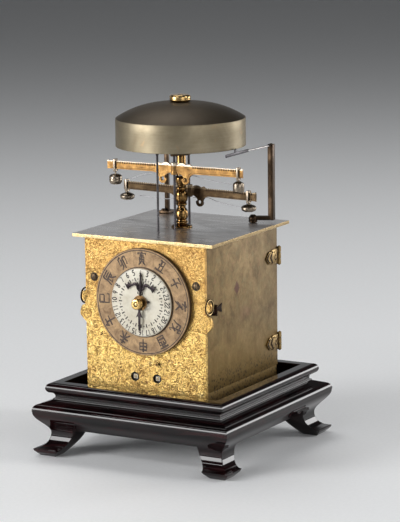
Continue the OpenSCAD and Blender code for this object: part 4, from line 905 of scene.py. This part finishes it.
# Cock over the verges
COCK = (-38.8, 46)
COCK_Z = 211
cx, cy = COCK
box((cx - 4.5, cy - 5, TOP_Z), (cx + 3.5, cy + 5, TOP_Z + 2.4), 0.4)
box((cx - 1.5, cy - 1.5, TOP_Z), (cx + 1.5, cy + 1.5, COCK_Z + 3), 0.4)
lathe([(0, 1.5), (1, 1.35), (1.5, 0.9), (1.6, 0)], move(cx - 1.6, cy - 3.2, TOP_Z + 2.4), 24)
box((0, -1.5, 0), (hypot(cx, cy - REAR_Y), 1.5, 3), 0.35,
    move(0, REAR_Y, COCK_Z) @ turn(degrees(atan2(cy - REAR_Y, cx))))
lathe([*barrel(5.2, 7.2, 0, 3, 0.2), (5.2, 0)], move(0, 0, COCK_Z))
box((-2, 6, COCK_Z), (2, 10, COCK_Z + 3), 0.2)
for y in (FRONT_Y, REAR_Y):
    lathe([*barrel(0.75, 2.8, 0, 3, 0.2), (0.75, 0)], move(0, y, COCK_Z), 40)
done("verge_cock_brass", "clock", "plain_brass", ["verge_cock"], "old_brass")

# Balances: a verge, with fine turning lines, and a notched arm each
for name, y, sense in (("front", FRONT_Y, 1), ("rear", REAR_Y, -1)):
    prof = [(0, 107.5), (0.7, 107.6), (0.7, 110), (0.9, 110.1)]
    for k in range(24):
        z = 161 + k * 1.5
        prof += [(0.9, z), (0.82, z + 0.5), (0.9, z + 1)]
    prof += [(0.9, 210.5), (0.7, 210.6), (0.7, 213.6), (0, 213.8)]
    lathe(prof, move(0, y, 0), 20)
    for s in (-1, 1):
        box((0, -0.3, 0), (2.2, 0.3, 2), 0.08, move(0, y, 121 + s * 8.6) @ turn(sense * (90 + s * 48)))
    done(name + "_verge_steel", name + "_balance", "grey_steel", [name + "_verge"], "dark_rod")

# Half the height of an arm, the first notch and the distance between notches
ARM_H = 2.9
NOTCH_FROM = 15
NOTCH_PITCH = 1.9


def notches(half):
    x = NOTCH_FROM
    while x < half - 4:
        yield x
        x += NOTCH_PITCH


def foliot_outline(half, sx):
    """Half an arm; heights are from its upper edge, then from its lower edge."""
    top = [(0, 0), (3.2, 0), (4.2, 1.2), (6, 1.6), (8, 1.35), (9.6, 0.5), (11, 0.45), (12.4, 1.1), (13.2, 0.9),
           (14, 0)]
    for x in notches(half):
        top += [(x, 0), (x + 0.15, -1.1), (x + 0.7, -1.2), (x + 1.25, -1.1), (x + 1.4, 0)]
    top += [(half - 1.1, 0), (half - 0.8, 0.4), (half, 0.3)]
    low = [(half, -0.3), (half - 1, 0), (17.5, 0), (15.2, -0.3), (13.4, -1.4), (12.3, -3), (11.9, -4.2),
           *arc(9.3, -4.6, 3.1, 0, -196, 14), (7.1, -3.9), (7.6, -2.6), (6.4, -1.2), (4.6, -0.2), (3.4, 0),
           (0, 0)]
    return [(sx * x, ARM_H + h) for x, h in top] + [(sx * x, h - ARM_H) for x, h in low]


def foliot(name, y, z, half, deg, look):
    """Arm with engraved lines on both faces and painted shade in its notches."""
    body = name + "_balance"
    m = move(0, y, z) @ turn(deg)
    for sx in (-1, 1):
        plate([foliot_outline(half, sx), circle(sx * 9.3, -ARM_H - 4.4, 1.4, 24)], 1.6,
              m @ move(0, 0.8, 0) @ FACE, 0.14)
    lathe([(0.9, -4), (2.3, -4), (2.6, -3.7), (2.6, -2.2), (2.2, -1.6), (2.2, 2.2), (2.6, 2.8), (2.6, 4.2),
           (2.3, 4.6), (0.9, 4.6)], m, 48)
    done(name + "_foliot_arm", body, "foliot_brass", [name + "_foliot"], look, angle=40, even=True)
    # Painted shade: dark blocks in the notches between the teeth
    for sx in (-1, 1):
        for x in notches(half):
            a, b = sorted((sx * (x + 0.05), sx * (x + 1.35)))
            box((a, -0.83, ARM_H - 1.8), (b, 0.83, ARM_H - 0.55), 0.05, m)
    for face in (-0.8, 0.8):
        fm = m @ move(0, face, 0) @ FACE @ thin(0.3)
        for sx in (-1, 1):
            tube([(sx * 16, -1.9), (sx * (half - 3), -1.9)], 0.12, fm)
            for r, pts in ((0.16, ((15, -1.6), (12.5, -3.2), (11.2, -6), (9.4, -9.2), (7.4, -8))),
                           (0.14, ((3.6, 1.6), (6.4, 3), (9.6, 1.6), (13, 2.4)))):
                tube([(sx * a, b) for a, b in pts], r, fm, smooth=True)
    done(name + "_foliot_lines_and_notch_shade", body, look="engraved")
    return m


def stay(name, m, y, left, right):
    """Thin wires behind an arm, clear of its weights; each has a height to start at and (x, z) points."""
    for sx, (start, *run) in ((-1, left), (1, right)):
        pts = [(2.5, 1.2, start), (6, 0.7 * y, start), (11, y, start), *[(a, y, b) for a, b in run]]
        tube([(sx * a, b, c) for a, b, c in pts], 0.25, m, smooth=True)
    done(name + "_foliot_wires", name + "_balance", "grey_steel", look="wire")


FRONT_ARM = foliot("front", FRONT_Y, 201.9, 55, 0, "foliot_brass")
REAR_ARM = foliot("rear", REAR_Y, 183.3, 57.2, -5, "rear_brass_shaded")
stay("front", FRONT_ARM, 5.5, (-4.4, (24, -5.4), (35, -8.6), (44, -13)),
     (-4.8, (20, -6.4), (34, -8.2), (46, -9.4)))
stay("rear", REAR_ARM, 6.2, (-5.4, (20, -8.2), (34, -8.6), (48, -8)), (-4.8, (20, -7), (34, -8.8), (46, -9.6)))


def bob(node, m, x, drop, profile, h):
    """Stirrup over the arm, stem, and a turned weight of the given profile."""
    base = m @ move(x, 0, 0)
    top, foot = ARM_H + 0.4, -ARM_H - 1
    for y0, y1 in ((-2.05, -1.15), (1.15, 2.05)):
        box((-0.9, y0, foot - 0.9), (0.9, y1, top + 0.9), 0.22, base)
    for z in (top, foot - 0.9):
        box((-0.9, -1.9, z), (0.9, 1.9, z + 0.9), 0.22, base)
    lathe([(0.9, 0.05), (0.7, -0.3), (0.7, -drop), (0.9, -drop - 0.1)], base @ move(0, 0, foot - 0.9), 20)
    lathe([(r, foot - 0.9 - drop - h + z * h) for z, r in profile], base, 48)
    done(node + "_weight", node, "weight_brass", [node])


# Weights as (share of the height, radius)
DRUM = [(0, 0), (0, 3), (0.05, 3.7), (0.15, 4.3), (0.3, 4.65), (0.5, 4.7), (0.55, 4.5), (0.6, 4.7),
        (0.78, 4.55), (0.88, 4), (0.95, 3), (1, 1.6), (1, 0)]
CUBE = [(0, 0), (0, 3), (0.06, 3.6), (0.16, 3.95), (0.5, 4), (0.72, 3.95), (0.84, 3.5), (0.9, 2.6),
        (1, 1.4), (1, 0)]
CAP = [(0, 0), (0, 3.4), (0.1, 4.6), (0.25, 5.2), (0.4, 5.4), (0.55, 5.35), (0.7, 4.9), (0.82, 4), (0.9, 2.6),
       (1, 1.6), (1, 0)]
bob("bob_front_left", FRONT_ARM, -48.7, 1.8, DRUM, 7.4)
bob("bob_front_right", FRONT_ARM, 51.6, 0.6, CUBE, 8)
bob("bob_rear_left", REAR_ARM, -54.8, 0.6, CAP, 5.2)
bob("bob_rear_right", REAR_ARM, 51, 0.6, CAP, 5.2)

# Striking hammer: arbor and arm, post, rod and blade
POST = (50, 42)
HAMMER_Z = 215
hx, hy = STRIKER
rod((*STRIKER, 66.8), (*STRIKER, 161), 1.5)
rod((*STRIKER, 64.2), (*STRIKER, 67), 0.9)
lathe([(0, 159.5), (2.9, 159.5), (3.2, 159.8), (3.2, 160.7), (2.9, 161), (3, 161.6), (3.2, 162.2),
       (3, 163.2), (2.5, 163.9), (2.2, 164.3), (1.6, 164.9), (0, 165.2)], move(*STRIKER), 40)
dx, dy = POST[0] - hx, POST[1] - hy
box((0, -1.9, 0), (hypot(dx, dy) + 1, 1.9, 3), 0.4, move(hx, hy, 161.1) @ turn(degrees(atan2(dy, dx))))
box((28, hy - 1, 74.45), (hx, hy + 1, 76.45), 0.2)
done("strike_hammer_arbor", "strike_hammer", "grey_steel", ["strike_hammer"], "old_brass")
box((POST[0] - 2, POST[1] - 2, 161.1), (POST[0] + 2, POST[1] + 2, HAMMER_Z + 1), 0.4, seg=3)
lathe([(0, 0.6), (0.6, 0.5), (1, 0.2), (1.1, 0)], move(*POST, HAMMER_Z + 0.95), 24)
done("strike_hammer_post", "strike_hammer", "grey_steel", look="old_brass")
rod((*POST, HAMMER_Z), (47.5, 12, HAMMER_Z), 0.6, 20)
done("strike_hammer_rod", "strike_hammer", "grey_steel")
box((47.1, -20, HAMMER_Z - 1.1), (47.9, 12.6, HAMMER_Z + 1.1), 0.3, seg=3)
lathe(barrel(0, 1.8, 0, 1, 0.3), move(46.6, -5, HAMMER_Z + 1.8) @ turn(90, "Y"), 40)
done("strike_hammer_blade", "strike_hammer", "grey_steel", look="dark_rod")

# Alarm hammer: arbor with a collar, arm with a ball, and a tail inside the case
ALARM_Z = 224
ax, ay = ALARM
rod((*ALARM, 138.6), (*ALARM, ALARM_Z + 1), 0.8)
rod((*ALARM, 136.2), (*ALARM, 139), 0.5)
lathe([(0.8, 212.6), (1, 213.6), (1.4, 214.8), (1.5, 215.4), (1.5, 216.6), (1.2, 217), (0.8, 217.3)],
      move(*ALARM), 24)
ball = (ax + 22 * cos(rad(201.3)), ay + 22 * sin(rad(201.3)), ALARM_Z)
rod((*ALARM, ALARM_Z), ball, 0.6)
lathe([(2.5 * cos(rad(a)), 2.5 * sin(rad(a))) for a in range(-90, 91, 10)], move(*ball), 32)
box((0, -0.6, 0), (7, 0.6, 1.2), 0.15, move(*ALARM, 139.5) @ turn(110))
done("alarm_hammer_steel", "alarm_hammer", "grey_steel", ["alarm_hammer"], "dark_rod")

# The rest of the frame keeps its shape
slots = {s["node"]: s["material_slot"] for s in frame["record"]["subparts"]}
for name, ob in frame["nodes"].items():
    ob.data.materials.clear()
    ob.data.materials.append(LOOKS[slots[name]])

# Stage, light and camera, in metres
floor = bpy.data.meshes.new("floor")
floor.from_pydata([(-6, -6, 0), (6, -6, 0), (6, 6, 0), (-6, 6, 0)], [], [(0, 1, 2, 3)])
n = Nodes("floor_paper")
g = n.noise(n.coords(), 400, 4, 0.5)
n.col = n.ramp(g, [(0.3, (0.9, 0.91, 0.92)), (0.7, (0.94, 0.95, 0.96))])
n.done(0.6, 0, n.bump(g, 0.00005, 0.3))
floor.materials.append(LOOKS["floor_paper"])
show("floor", floor)

world = bpy.data.worlds.new("studio")
bpy.context.scene.world = world
n = Nodes("studio", world)
sky = n.ramp(n.axis(2, "TexCoord", "Generated"), [
    (p, (v * 0.98, v, v * 1.02)) for p, v in ((0, 0.3), (0.17, 0.52), (0.36, 0.1), (0.6, 0.03))])
n.add("OutputWorld", {0: n.add("Background", {"Color": sky, "Strength": 1}).outputs[0]})


def area(name, loc, aim_z, power, size, size_y):
    """Soft light aimed at a height on the middle axis of the clock."""
    data = bpy.data.lights.new(name, "AREA")
    data.energy = power
    data.shape = "RECTANGLE"
    data.size = size
    data.size_y = size_y
    ob = show(name, data)
    ob.location = loc
    ob.rotation_euler = (Vector((0, 0, aim_z)) - Vector(loc)).to_track_quat("-Z", "Y").to_euler()


area("key", (-0.95, -1.3, 0.45), 0.12, 22, 0.8, 0.6)
area("side", (1, 1.35, 0.33), 0.1, 8.5, 0.7, 0.5)
area("fill", (1.5, -0.8, 0.55), 0.1, 6, 1, 0.9)
area("top", (-0.6, 0.5, 1.7), 0.1, 9, 1, 0.8)
area("strip_front", (-0.35, -1.25, 1.25), 0.05, 5, 1.3, 0.08)
area("strip_right", (1.25, 0.35, 0.95), 0.05, 6, 0.2, 1.1)

AZ, EL, ROLL = rad(29.78), rad(10.59), rad(-0.71)
DIST = 1.82489
right0 = Vector((cos(AZ), sin(AZ), 0))
back = Vector((sin(AZ) * cos(EL), -cos(AZ) * cos(EL), sin(EL)))
up0 = back.cross(right0)
right = right0 * cos(ROLL) + up0 * sin(ROLL)
up = up0 * cos(ROLL) - right0 * sin(ROLL)
target = Vector((0, 0, 0.134)) + right0 * 0.01259
cam = bpy.data.cameras.new("camera")
cam.lens = 176.4
cam.sensor_width = 36
cam.clip_start, cam.clip_end = 0.05, 50
cam_ob = show("camera", cam)
cam_ob.matrix_world = Matrix((right, up, back)).transposed().to_4x4()
cam_ob.matrix_world.translation = target + back * DIST
bpy.context.scene.camera = cam_ob
bpy.context.scene.view_settings.view_transform = "Standard"
